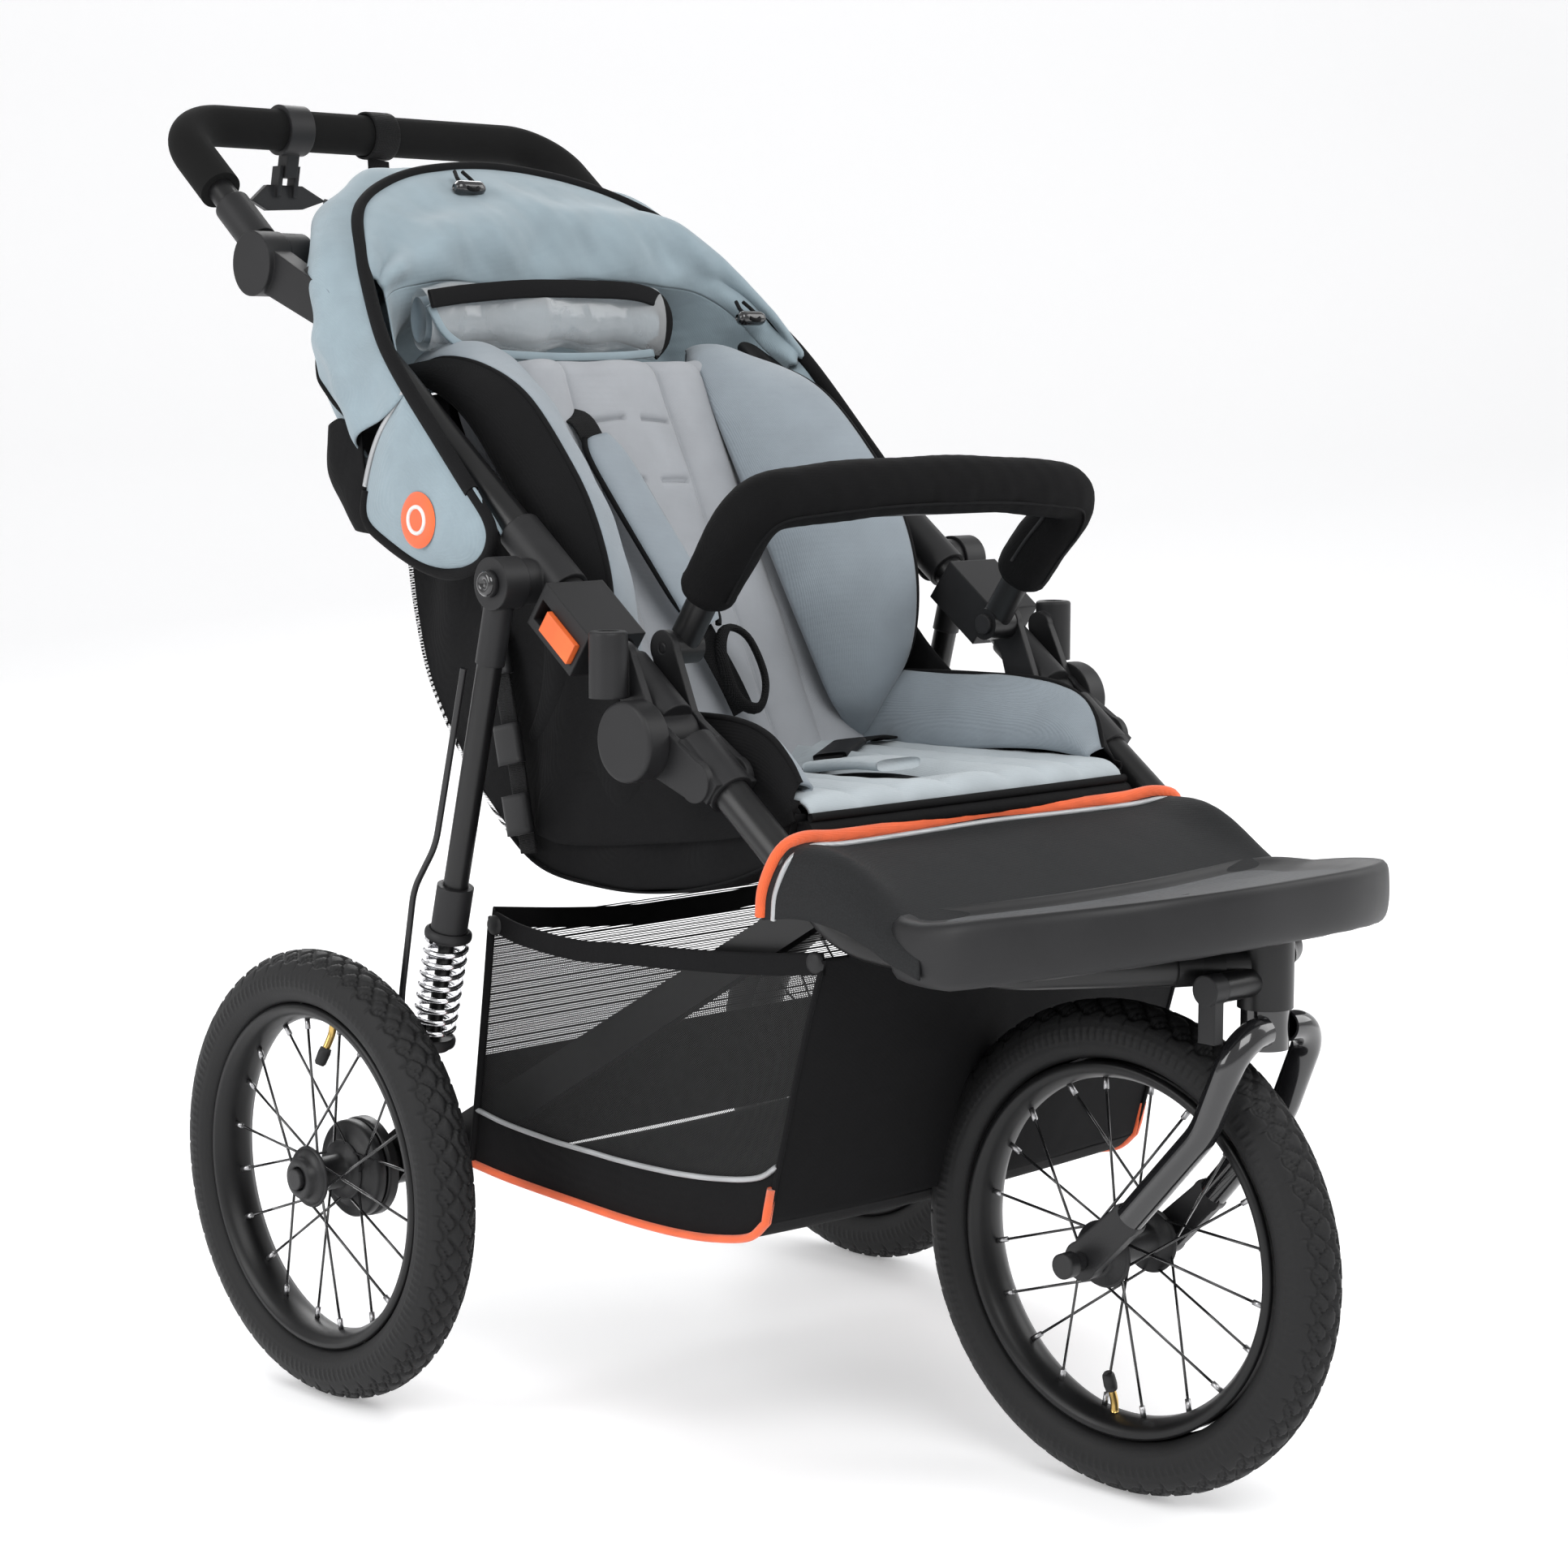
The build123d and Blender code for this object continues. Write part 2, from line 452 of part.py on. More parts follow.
BACK_LEN = 418.0
board = slab_x([back_pt(2, -4), back_pt(BACK_LEN, -4), back_pt(BACK_LEN, 4), back_pt(2, 4)], -155, 155)
save("seat_back_board", board + xcyl(BIGHT, -155, 155, 5.0))
bpad = slab_x([back_pt(52, 4.3), back_pt(BACK_LEN, 4.3), back_pt(BACK_LEN, 26), back_pt(380, 32), back_pt(60, 34)], -SEAT_HALF, SEAT_HALF)
bol = slab_x([back_pt(90, 33), back_pt(400, 28), back_pt(360, 74), back_pt(160, 84), back_pt(110, 60)], 132, SEAT_HALF)
save("seat_back_pad", bpad + bol + mirror(bol, about=Plane.YZ))
# rear sling: the mesh panel that bellies out behind the back board
sling = [(46, 655), (35, 597), (20, 560), (-11, 511), (-51, 463), (-101, 420), (-98, 417), (-46, 460), (-6, 509), (25, 559), (40, 596), (51, 654)]
save("rear_sling", slab_x(sling, -166.0, 166.0))
buckle = slab_x([seat_pt(150, 39.2), seat_pt(205, 38.2), seat_pt(205, 51), seat_pt(150, 52)], -24, 24)
slot_b = slab_x([seat_pt(168, 44.0), seat_pt(190, 43.5), seat_pt(190, 52), seat_pt(168, 52)], -9, 9)
save("harness_buckle", buckle - slot_b)
save("buckle_button", slab_x([seat_pt(168.3, 46.2), seat_pt(189.7, 46.2), seat_pt(189.7, 52.6), seat_pt(168.3, 52.6)], -8.7, 8.7))

# ---------------------------------------------------------------- calf panel and basket
calf = slab_x([(-409, 444), (-450, 438), (-527, 421), (-527, 417.5), (-450, 434.5), (-411, 440.4)], -164, 164)
apron = slab_x([(-452, 437), (-462, 394), (-459, 393), (-449, 435)], -164, 164)
save("calf_panel", calf + apron)
BW = 200.0
b_out = [(-93, 373), (-64, 177), (-375, 179), (-452, 388)]
tub = slab_x(b_out, -BW, BW)
hollow = slab_x([(-96.2, 400), (-67.2, 180.2), (-372.9, 182.2), (-452, 400)], -BW + 3, BW - 3)
basket = tub - hollow
for sx in (-1, 1):     # the swing arms pass through the rear panel
    x0, x1 = sorted((sx * 160, sx * 192))
    basket = basket - slab_x([(-110, 160), (-40, 160), (-40, 290), (-110, 290)], x0, x1)
save("basket", max(basket.solids(), key=lambda q: q.volume))
# stiff liner on the basket floor, turned up at the front and the rear
liner = slab_x([(-89.5, 330), (-68.8, 182.0), (-372.0, 184.0), (-423.5, 323), (-420.5, 324), (-370.0, 187.0), (-71.5, 185.0), (-92.5, 330)], -150, 150)
save("basket_liner", liner)

# ---------------------------------------------------------------- hood
RIM0, RIM1 = Vector(0, -160, 645), Vector(0, 163, 961)
rd = (RIM1 - RIM0).normalized()
rn = Vector(0, rd.Z, -rd.Y)      # backwards and down, behind the rim


def rim_pt(s, h):
    return (RIM0.Y + rd.Y * s + rn.Y * h, RIM0.Z + rd.Z * s + rn.Z * h)


def arch(offset, s0, h0, h1):
    """Solid arch: the hood's cross section swept behind the rim plane."""
    w, k = 219.0 - offset, offset
    pts = [(-w, s0), (-w, 230.0), (-168.0 + k * 0.7, 396.0 - k * 0.7), (-70.0 + k * 0.2, 452.0 - k),
           (70.0 - k * 0.2, 452.0 - k), (168.0 - k * 0.7, 396.0 - k * 0.7), (w, 230.0), (w, s0)]
    vs = [Vector(x, *rim_pt(s, h0)) for x, s in pts]
    return extrude(make_face(Polyline(*vs, close=True)), amount=h1 - h0, dir=tuple(rn))


hood_side = [rim_pt(8, 4), rim_pt(452, 4), (188, 930), (150, 845), (100, 760), (72, 690), (58, 640), (-40, 600), (-118, 612)]
hood_in = [rim_pt(-40, 0), rim_pt(470, 0), (188 - 4, 936), (146, 847), (96, 762), (68, 692), (53.5, 640), (-20, 560), (-118, 540)]
keep_out = cyl(p3(TUBE_X, at(280)), p3(TUBE_X, at(720)), 13.8) + cyl(p3(TUBE_X, at(310)), p3(TUBE_X, at(402)), 18.5)
keep_out = keep_out + cyl(p3(TUBE_X, at(640)), p3(TUBE_X, at(725)), 18.5) + xcyl(LEG_TOP, 190, 240, 24.0) + xcyl(HANDLE_HINGE, 170, 230, 30)
hood = (slab_x(hood_side, -230, 230) & arch(0.0, -90.0, 2.0, 260.0)) - (slab_x(hood_in, -230, 230) & arch(4.0, -130.0, -6.0, 266.0))
hood = hood - keep_out - mirror(keep_out, about=Plane.YZ)
save("hood_canopy", max(hood.solids(), key=lambda q: q.volume))
bow_pts = [(-222, 40), (-222, 232), (-170, 398), (-70, 450), (70, 450), (170, 398), (222, 232), (222, 40)]
bow = bent([Vector(x, *rim_pt(s, -3.0)) for x, s in bow_pts], (90, 60, 50, 50, 60, 90), 4.0)
HOOD_PIVOT = rim_pt(36, -3.0)
bow = bow + xcyl(HOOD_PIVOT, 219.4, 227.0, 9.0) + xcyl(HOOD_PIVOT, -227.0, -219.4, 9.0)
save("hood_front_bow", bow)

# ---------------------------------------------------------------- brake cables, held along the frame
CR = 2.5
up_pts = [(-37, ht[0] + 12, ht[1] - 58), (0, ht[0] + 6, ht[1] - 66), (60, ht[0] - 10, ht[1] - 56), (120, ht[0] - 26, ht[1] - 44),
          (172, ht[0] - 50, ht[1] - 50), (178, ht[0] - 96, ht[1] - 84)]
save("brake_cable_handle", bent(up_pts, (40, 60, 80, 40), CR))
cab = [(252.5, leg(70)[0] + 14.5, leg(70)[1] + 4), (252.5, leg(210)[0] + 16, leg(210)[1] + 4), (252.5, leg(250)[0] + 34, leg(250)[1] + 6),
       (252.5, leg(330)[0] + 30, leg(330)[1] + 4), (252.5, leg(392)[0] + 22, leg(392)[1])]
pair("brake_cables", bent(cab, (60, 50, 90), CR))


# ---------------------------------------------------------------- write
for name, solids in nodes.items():
    shape = Compound(children=[s.moved(Location((0, Y_SHIFT, 0))) for s in solids]) if len(solids) > 1 else solids[0].moved(
        Location((0, Y_SHIFT, 0)))
    export_step(shape, f"parts/{name}.step")
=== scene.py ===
import json
import math

import bpy
import numpy as np
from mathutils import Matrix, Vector

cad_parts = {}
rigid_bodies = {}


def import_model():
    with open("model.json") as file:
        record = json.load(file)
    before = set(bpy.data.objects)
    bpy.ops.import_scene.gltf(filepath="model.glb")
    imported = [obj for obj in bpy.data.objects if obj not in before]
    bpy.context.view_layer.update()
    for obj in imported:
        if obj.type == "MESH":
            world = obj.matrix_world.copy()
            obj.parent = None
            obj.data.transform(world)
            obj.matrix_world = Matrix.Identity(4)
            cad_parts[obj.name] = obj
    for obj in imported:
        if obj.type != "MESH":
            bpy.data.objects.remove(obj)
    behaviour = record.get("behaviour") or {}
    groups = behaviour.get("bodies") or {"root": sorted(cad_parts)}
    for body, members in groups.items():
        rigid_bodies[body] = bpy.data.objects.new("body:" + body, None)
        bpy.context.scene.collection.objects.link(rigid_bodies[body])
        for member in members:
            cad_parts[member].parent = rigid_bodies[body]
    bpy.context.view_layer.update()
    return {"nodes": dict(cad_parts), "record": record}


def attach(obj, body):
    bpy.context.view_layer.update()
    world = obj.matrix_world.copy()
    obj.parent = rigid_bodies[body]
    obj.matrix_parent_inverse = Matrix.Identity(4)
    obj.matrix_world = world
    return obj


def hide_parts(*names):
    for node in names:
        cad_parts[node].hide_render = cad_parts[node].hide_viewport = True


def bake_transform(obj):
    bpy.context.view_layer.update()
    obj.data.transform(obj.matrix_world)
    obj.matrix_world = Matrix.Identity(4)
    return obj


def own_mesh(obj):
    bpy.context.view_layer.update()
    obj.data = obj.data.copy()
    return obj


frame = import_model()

YS = 195.47
rng = np.random.default_rng(7)


def Q(p):
    a = np.asarray(p, float)
    return (a + np.array([0.0, YS, 0.0])) / 1000.0


# ------------------------------------------------------------------ materials
def new_mat(name):
    m = bpy.data.materials.new(name)
    m.use_nodes = True
    nt = m.node_tree
    b = nt.nodes["Principled BSDF"]
    return m, nt, b


def vary(nt, b, col, amount, scale, detail=4.0, coord="Object"):
    tc = nt.nodes.new("ShaderNodeTexCoord")
    nz = nt.nodes.new("ShaderNodeTexNoise")
    nz.inputs["Scale"].default_value = scale
    nz.inputs["Detail"].default_value = detail
    nt.links.new(tc.outputs[coord], nz.inputs["Vector"])
    r = nt.nodes.new("ShaderNodeValToRGB")
    lo = [max(0, c * (1 - amount)) for c in col]
    hi = [min(1, c * (1 + amount)) for c in col]
    r.color_ramp.elements[0].position = 0.35
    r.color_ramp.elements[1].position = 0.68
    r.color_ramp.elements[0].color = (*lo, 1)
    r.color_ramp.elements[1].color = (*hi, 1)
    nt.links.new(nz.outputs["Fac"], r.inputs["Fac"])
    nt.links.new(r.outputs["Color"], b.inputs["Base Color"])
    return tc, nz


def bumped(nt, b, layers, bevel=0.0):
    """layers: (kind, scale, strength, distance)"""
    tc = nt.nodes.new("ShaderNodeTexCoord")
    prev = None
    if bevel:
        bv = nt.nodes.new("ShaderNodeBevel")
        bv.samples = 4
        bv.inputs["Radius"].default_value = bevel
        prev = bv.outputs["Normal"]
    for kind, scale, strength, dist in layers:
        if kind == "noise":
            t = nt.nodes.new("ShaderNodeTexNoise")
            t.inputs["Detail"].default_value = 5.0
            out = t.outputs["Fac"]
        elif kind == "voronoi":
            t = nt.nodes.new("ShaderNodeTexVoronoi")
            out = t.outputs["Distance"]
        else:
            t = nt.nodes.new("ShaderNodeTexWave")
            t.wave_type = "BANDS"
            t.bands_direction = kind
            t.inputs["Distortion"].default_value = 1.5
            out = t.outputs["Fac"]
        t.inputs["Scale"].default_value = scale
        nt.links.new(tc.outputs["Object"], t.inputs["Vector"])
        bp = nt.nodes.new("ShaderNodeBump")
        bp.inputs["Strength"].default_value = strength
        bp.inputs["Distance"].default_value = dist
        nt.links.new(out, bp.inputs["Height"])
        if prev is not None:
            nt.links.new(prev, bp.inputs["Normal"])
        prev = bp.outputs["Normal"]
    if prev is not None:
        nt.links.new(prev, b.inputs["Normal"])


def plain(name, col, rough, metal=0.0, var=0.12, vscale=30, layers=(), bevel=0.0, coat=0.0, sheen=0.0, rough_var=0.08, spec=0.5):
    m, nt, b = new_mat(name)
    tc, nz = vary(nt, b, col, var, vscale)
    b.inputs["Metallic"].default_value = metal
    b.inputs["Coat Weight"].default_value = coat
    b.inputs["Sheen Weight"].default_value = sheen
    b.inputs["Sheen Roughness"].default_value = 0.5
    b.inputs["Specular IOR Level"].default_value = spec
    mr = nt.nodes.new("ShaderNodeMapRange")
    mr.inputs["To Min"].default_value = max(0.02, rough - rough_var)
    mr.inputs["To Max"].default_value = min(1.0, rough + rough_var)
    nt.links.new(nz.outputs["Fac"], mr.inputs["Value"])
    nt.links.new(mr.outputs["Result"], b.inputs["Roughness"])
    bumped(nt, b, layers, bevel)
    return m


WEAVE = [("X", 420, 0.25, 0.0006), ("Z", 420, 0.25, 0.0006), ("noise", 60, 0.18, 0.003)]
M = {}
M["tube"] = plain("tube_black", (0.006, 0.006, 0.0065), 0.36, 0.0, spec=0.42, layers=[("noise", 900, 0.08, 0.0004)])
M["housing"] = plain("housing_black", (0.0115, 0.0115, 0.0125), 0.5, spec=0.36, layers=[("noise", 1400, 0.2, 0.0003)], bevel=0.0022)
M["gloss"] = plain("gloss_black", (0.01, 0.01, 0.011), 0.16, coat=0.7, layers=[("noise", 20, 0.02, 0.001)])
M["steel"] = plain("steel", (0.45, 0.45, 0.46), 0.35, 1.0, layers=[("noise", 600, 0.08, 0.0003)])
M["chrome"] = plain("chrome", (0.75, 0.75, 0.77), 0.12, 1.0, layers=[("noise", 300, 0.04, 0.0003)])
M["darkcast"] = plain("dark_cast", (0.011, 0.011, 0.012), 0.42, 0.0, spec=0.4, layers=[("noise", 700, 0.25, 0.0005)], bevel=0.003)
M["tyre"] = plain("tyre_rubber", (0.0085, 0.0085, 0.009), 0.6, spec=0.32, layers=[("noise", 500, 0.2, 0.0006), ("voronoi", 900, 0.1, 0.0004)])
M["rim"] = plain("rim_black", (0.005, 0.005, 0.0055), 0.4, 0.0, spec=0.36, layers=[("noise", 700, 0.08, 0.0003)])
M["foam"] = plain("foam_black", (0.0065, 0.0065, 0.0065), 0.9, spec=0.18, layers=[("noise", 1500, 0.35, 0.0006)])
M["orange"] = plain("orange_plastic", (0.83, 0.15, 0.035), 0.42, layers=[("noise", 900, 0.1, 0.0004)], bevel=0.0015)
M["orange_tape"] = plain("orange_tape", (0.86, 0.13, 0.03), 0.75, sheen=0.3, layers=[("Y", 500, 0.3, 0.0006)])
M["silver_tape"] = plain("silver_tape", (0.42, 0.43, 0.44), 0.38, 0.35, layers=[("Y", 500, 0.2, 0.0004)])
M["blue"] = plain("hood_blue", (0.255, 0.325, 0.365), 0.78, sheen=0.25, var=0.07, layers=WEAVE)
# a darker copy of the hood blue cloth: painted shade of the same cloth
M["blue_painted_shade"] = plain("hood_lining", (0.16, 0.205, 0.235), 0.85, sheen=0.15, var=0.1, layers=WEAVE)
M["silver"] = plain("liner_silver", (0.335, 0.35, 0.375), 0.66, sheen=0.25, var=0.05, layers=WEAVE)
M["bolster"] = plain("liner_bluegrey", (0.255, 0.295, 0.33), 0.7, sheen=0.25, var=0.05, layers=WEAVE)
M["lightlip"] = plain("liner_light", (0.43, 0.48, 0.51), 0.7, sheen=0.2, var=0.05, layers=WEAVE)
M["black"] = plain("cloth_black", (0.0048, 0.0048, 0.0054), 0.85, spec=0.2, var=0.2, layers=WEAVE)
M["blackpad"] = plain("cloth_black_soft", (0.0042, 0.0042, 0.0046), 0.9, spec=0.15, var=0.2, layers=WEAVE)
M["webbing"] = plain("webbing", (0.0045, 0.0045, 0.005), 0.7, spec=0.25, layers=[("X", 260, 0.6, 0.001), ("Z", 260, 0.6, 0.001)])
M["calf"] = plain("calf_cloth", (0.0105, 0.0112, 0.0122), 0.74, spec=0.3, var=0.35, vscale=900, layers=WEAVE)
M["brass"] = plain("brass", (0.62, 0.42, 0.14), 0.28, 1.0, layers=[("noise", 400, 0.05, 0.0003)])
M["cable"] = plain("cable_black", (0.012, 0.012, 0.013), 0.35, layers=[("noise", 300, 0.05, 0.0003)])
M["greyfoot"] = plain("grip_grey", (0.075, 0.078, 0.082), 0.6, spec=0.3, layers=[("voronoi", 260, 0.5, 0.0012)])
M["white"] = plain("mark_white", (0.75, 0.75, 0.74), 0.6, layers=[("noise", 300, 0.1, 0.0004)])

# open mesh: a fine grid of holes
m, nt, b = new_mat("open_mesh")
b.inputs["Base Color"].default_value = (0.012, 0.012, 0.013, 1)
b.inputs["Roughness"].default_value = 0.7
tc, nz = vary(nt, b, (0.006, 0.006, 0.0065), 0.25, 120)
sep = nt.nodes.new("ShaderNodeSeparateXYZ")
nt.links.new(tc.outputs["Object"], sep.inputs["Vector"])
prod = []
for axis in ("Y", "Z"):
    mul = nt.nodes.new("ShaderNodeMath")
    mul.operation = "MULTIPLY"
    mul.inputs[1].default_value = 2 * math.pi / 0.0017
    nt.links.new(sep.outputs[axis], mul.inputs[0])
    sn_ = nt.nodes.new("ShaderNodeMath")
    sn_.operation = "SINE"
    nt.links.new(mul.outputs[0], sn_.inputs[0])
    prod.append(sn_)
pm = nt.nodes.new("ShaderNodeMath")
pm.operation = "MULTIPLY"
nt.links.new(prod[0].outputs[0], pm.inputs[0])
nt.links.new(prod[1].outputs[0], pm.inputs[1])
gt = nt.nodes.new("ShaderNodeMath")
gt.operation = "GREATER_THAN"
gt.inputs[1].default_value = 0.12
nt.links.new(pm.outputs[0], gt.inputs[0])
tr = nt.nodes.new("ShaderNodeBsdfTransparent")
mx = nt.nodes.new("ShaderNodeMixShader")
nt.links.new(gt.outputs[0], mx.inputs["Fac"])
nt.links.new(b.outputs["BSDF"], mx.inputs[1])
nt.links.new(tr.outputs["BSDF"], mx.inputs[2])
nt.links.new(mx.outputs["Shader"], nt.nodes["Material Output"].inputs["Surface"])
M["mesh"] = m

# clear film
m, nt, b = new_mat("clear_film")
vary(nt, b, (0.85, 0.88, 0.9), 0.05, 14)
b.inputs["Roughness"].default_value = 0.06
b.inputs["Specular IOR Level"].default_value = 0.9
b.inputs["Coat Weight"].default_value = 1.0
b.inputs["Alpha"].default_value = 0.32
bumped(nt, b, [("noise", 22, 0.5, 0.012)])
M["film"] = m

SLOT_MAT = {
    "frame_black": "tube", "housing_black": "housing", "gloss_black": "gloss", "steel": "steel", "chrome": "chrome",
    "aluminium": "darkcast", "tyre": "tyre", "rim_black": "rim", "foam_grip": "foam", "orange": "orange",
    "hood_cloth": "blue", "seat_cloth": "silver", "black_cloth": "black", "mesh_black": "mesh", "board": "housing", "cable": "cable",
}
for sp in frame["record"]["subparts"]:
    o = frame["nodes"][sp["node"]]
    o.data.materials.clear()
    o.data.materials.append(M[SLOT_MAT[sp["material_slot"]]])
for n in ("frame_pivot_pins", "upper_pivot_pins"):
    frame["nodes"][n].data.materials.clear()
    frame["nodes"][n].data.materials.append(M["darkcast"])
for n in ("front_release_knob", "hub_release_button_left", "hub_release_button_right", "front_axle"):
    frame["nodes"][n].data.materials.clear()
    frame["nodes"][n].data.materials.append(M["darkcast"])
for n in ("strut_rods",):
    frame["nodes"][n].data.materials.clear()
    frame["nodes"][n].data.materials.append(M["tube"])


# ------------------------------------------------------------------ mesh helpers
def smooth_curve(pts, n, closed=False):
    """Centripetal-like Catmull-Rom through pts, n samples evenly spaced by length."""
    P = np.asarray(pts, float)
    if closed:
        P = np.vstack([P[-1], P, P[0], P[1]])
    else:
        P = np.vstack([2 * P[0] - P[1], P, 2 * P[-1] - P[-2]])
    out = []
    for i in range(1, len(P) - 2):
        p0, p1, p2, p3 = P[i - 1], P[i], P[i + 1], P[i + 2]
        for t in np.linspace(0, 1, 24, endpoint=False):
            out.append(0.5 * ((2 * p1) + (-p0 + p2) * t + (2 * p0 - 5 * p1 + 4 * p2 - p3) * t**2 + (-p0 + 3 * p1 - 3 * p2 + p3) * t**3))
    if not closed:
        out.append(P[-2])
    out = np.array(out)
    if closed:
        out = np.vstack([out, out[:1]])
    seg = np.linalg.norm(np.diff(out, axis=0), axis=1)
    s = np.concatenate([[0], np.cumsum(seg)])
    u = np.linspace(0, s[-1], n + 1 if closed else n)
    r = np.stack([np.interp(u, s, out[:, k]) for k in range(out.shape[1])], 1)
    return r[:-1] if closed else r


def lines(pts, n):
    """Straight runs resampled to n points."""
    P = np.asarray(pts, float)
    seg = np.linalg.norm(np.diff(P, axis=0), axis=1)
    s = np.concatenate([[0], np.cumsum(seg)])
    u = np.linspace(0, s[-1], n)
    return np.stack([np.interp(u, s, P[:, k]) for k in range(3)], 1)


def make(name, V, F, mat, body, smooth=True, scale=True):
    me = bpy.data.meshes.new(name)
    V = Q(V) if scale else np.asarray(V, float)
    me.from_pydata([tuple(v) for v in V], [], [tuple(int(i) for i in f) for f in F])
    me.update()
    if smooth:
        me.polygons.foreach_set("use_smooth", [True] * len(me.polygons))
    o = bpy.data.objects.new(name, me)
    bpy.context.scene.collection.objects.link(o)
    me.materials.append(M[mat])
    if body:
        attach(o, body)
    return o


def grid(name, G, mat, body, wrap_u=False, wrap_v=False, thick=0.0, mat2=None, cap=False, sub=0):
    """G: array u x v x 3 in mm. thick: cloth thickness in mm."""
    G = np.asarray(G, float)
    nu, nv = G.shape[:2]
    V = G.reshape(-1, 3)
    F = []
    for i in range(nu if wrap_u else nu - 1):
        for j in range(nv if wrap_v else nv - 1):
            a, b_ = i, (i + 1) % nu
            c, d = j, (j + 1) % nv
            F.append((a * nv + c, b_ * nv + c, b_ * nv + d, a * nv + d))
    if cap and wrap_v:
        F.append(tuple(range(nv - 1, -1, -1)))
        F.append(tuple((nu - 1) * nv + j for j in range(nv)))
    o = make(name, V, F, mat, body)
    if sub:
        s = o.modifiers.new("sub", "SUBSURF")
        s.levels = s.render_levels = sub
    if thick:
        s = o.modifiers.new("thick", "SOLIDIFY")
        s.thickness = thick / 1000
        s.offset = 0.0
        if mat2:
            o.data.materials.append(M[mat2])
            s.material_offset = 1
            s.material_offset_rim = 1
    return o


def frames(P, closed=False):
    T = np.gradient(P, axis=0)
    if closed:
        T = np.roll(P, -1, 0) - np.roll(P, 1, 0)
    T /= np.linalg.norm(T, axis=1)[:, None] + 1e-12
    up = np.array([0, 0, 1.0])
    if abs(T[0] @ up) > 0.9:
        up = np.array([0, 1.0, 0])
    n = up - T[0] * (up @ T[0])
    n /= np.linalg.norm(n)
    Ns = [n]
    for i in range(1, len(P)):
        n = Ns[-1] - T[i] * (Ns[-1] @ T[i])
        n /= np.linalg.norm(n) + 1e-12
        Ns.append(n)
    Ns = np.array(Ns)
    return T, Ns, np.cross(T, Ns)


def sweep(name, P, r, mat, body, seg=14, r2=None, closed=False, normal=None, cap=True, power=1.0, noise=0.0):
    """Tube or flat strap along P (mm). r along the normal, r2 across it; power<1 makes a squarer section."""
    P = np.asarray(P, float)
    n = len(P)
    T, N, B = frames(P, closed)
    if normal is not None:
        nn = np.asarray(normal, float)
        if nn.ndim == 1:
            nn = np.tile(nn, (n, 1))
        N = nn - T * np.sum(nn * T, 1)[:, None]
        N /= np.linalg.norm(N, axis=1)[:, None]
        B = np.cross(T, N)
    r = np.broadcast_to(np.asarray(r, float), (n,))
    r2 = r if r2 is None else np.broadcast_to(np.asarray(r2, float), (n,))
    a = np.linspace(0, 2 * math.pi, seg, endpoint=False)
    ca = np.sign(np.cos(a)) * np.abs(np.cos(a)) ** power
    sa = np.sign(np.sin(a)) * np.abs(np.sin(a)) ** power
    G = P[:, None] + N[:, None] * (r[:, None] * ca)[..., None] + B[:, None] * (r2[:, None] * sa)[..., None]
    if noise:
        G += fold(G, 0.03, noise)
    return grid(name, G, mat, body, wrap_u=closed, wrap_v=True, cap=cap and not closed)


def fold(G, freq, amp, seed=0):
    """Smooth pseudo-random displacement of a grid, as a small vector field."""
    r = np.random.default_rng(seed)
    X = G.reshape(-1, 3)
    D = np.zeros_like(X)
    for k in range(6):
        w = r.normal(size=3) * freq * (1.5 ** k) / 2
        ph = r.uniform(0, 6.28)
        dirv = r.normal(size=3)
        dirv /= np.linalg.norm(dirv)
        D += np.sin(X @ w * 2 * math.pi + ph)[:, None] * dirv / (1.6 ** k)
    return (D * amp / 1.8).reshape(G.shape)


def normals(G):
    du = np.gradient(G, axis=0)
    dv = np.gradient(G, axis=1)
    n = np.cross(du, dv)
    return n / (np.linalg.norm(n, axis=2)[..., None] + 1e-9)


def ruled(A, B, nu, nv, bulge=0.0, bdir=None, ease=None):
    """Surface between two curves. bulge in mm along bdir or the surface normal."""
    A = smooth_curve(A, nu)
    B = smooth_curve(B, nu)
    t = np.linspace(0, 1, nv)
    if ease:
        t = t ** ease
    G = A[:, None] * (1 - t)[None, :, None] + B[:, None] * t[None, :, None]
    if bulge:
        n = normals(G) if bdir is None else np.broadcast_to(np.asarray(bdir, float), G.shape)
        G = G + n * (np.sin(math.pi * t) * bulge)[None, :, None]
    return G


def hood_follow(o):
    """Bakes the piece's transform into its mesh."""
    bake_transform(o)


def mirror_x(G):
    G = np.array(G, float)
    G[..., 0] *= -1
    return G


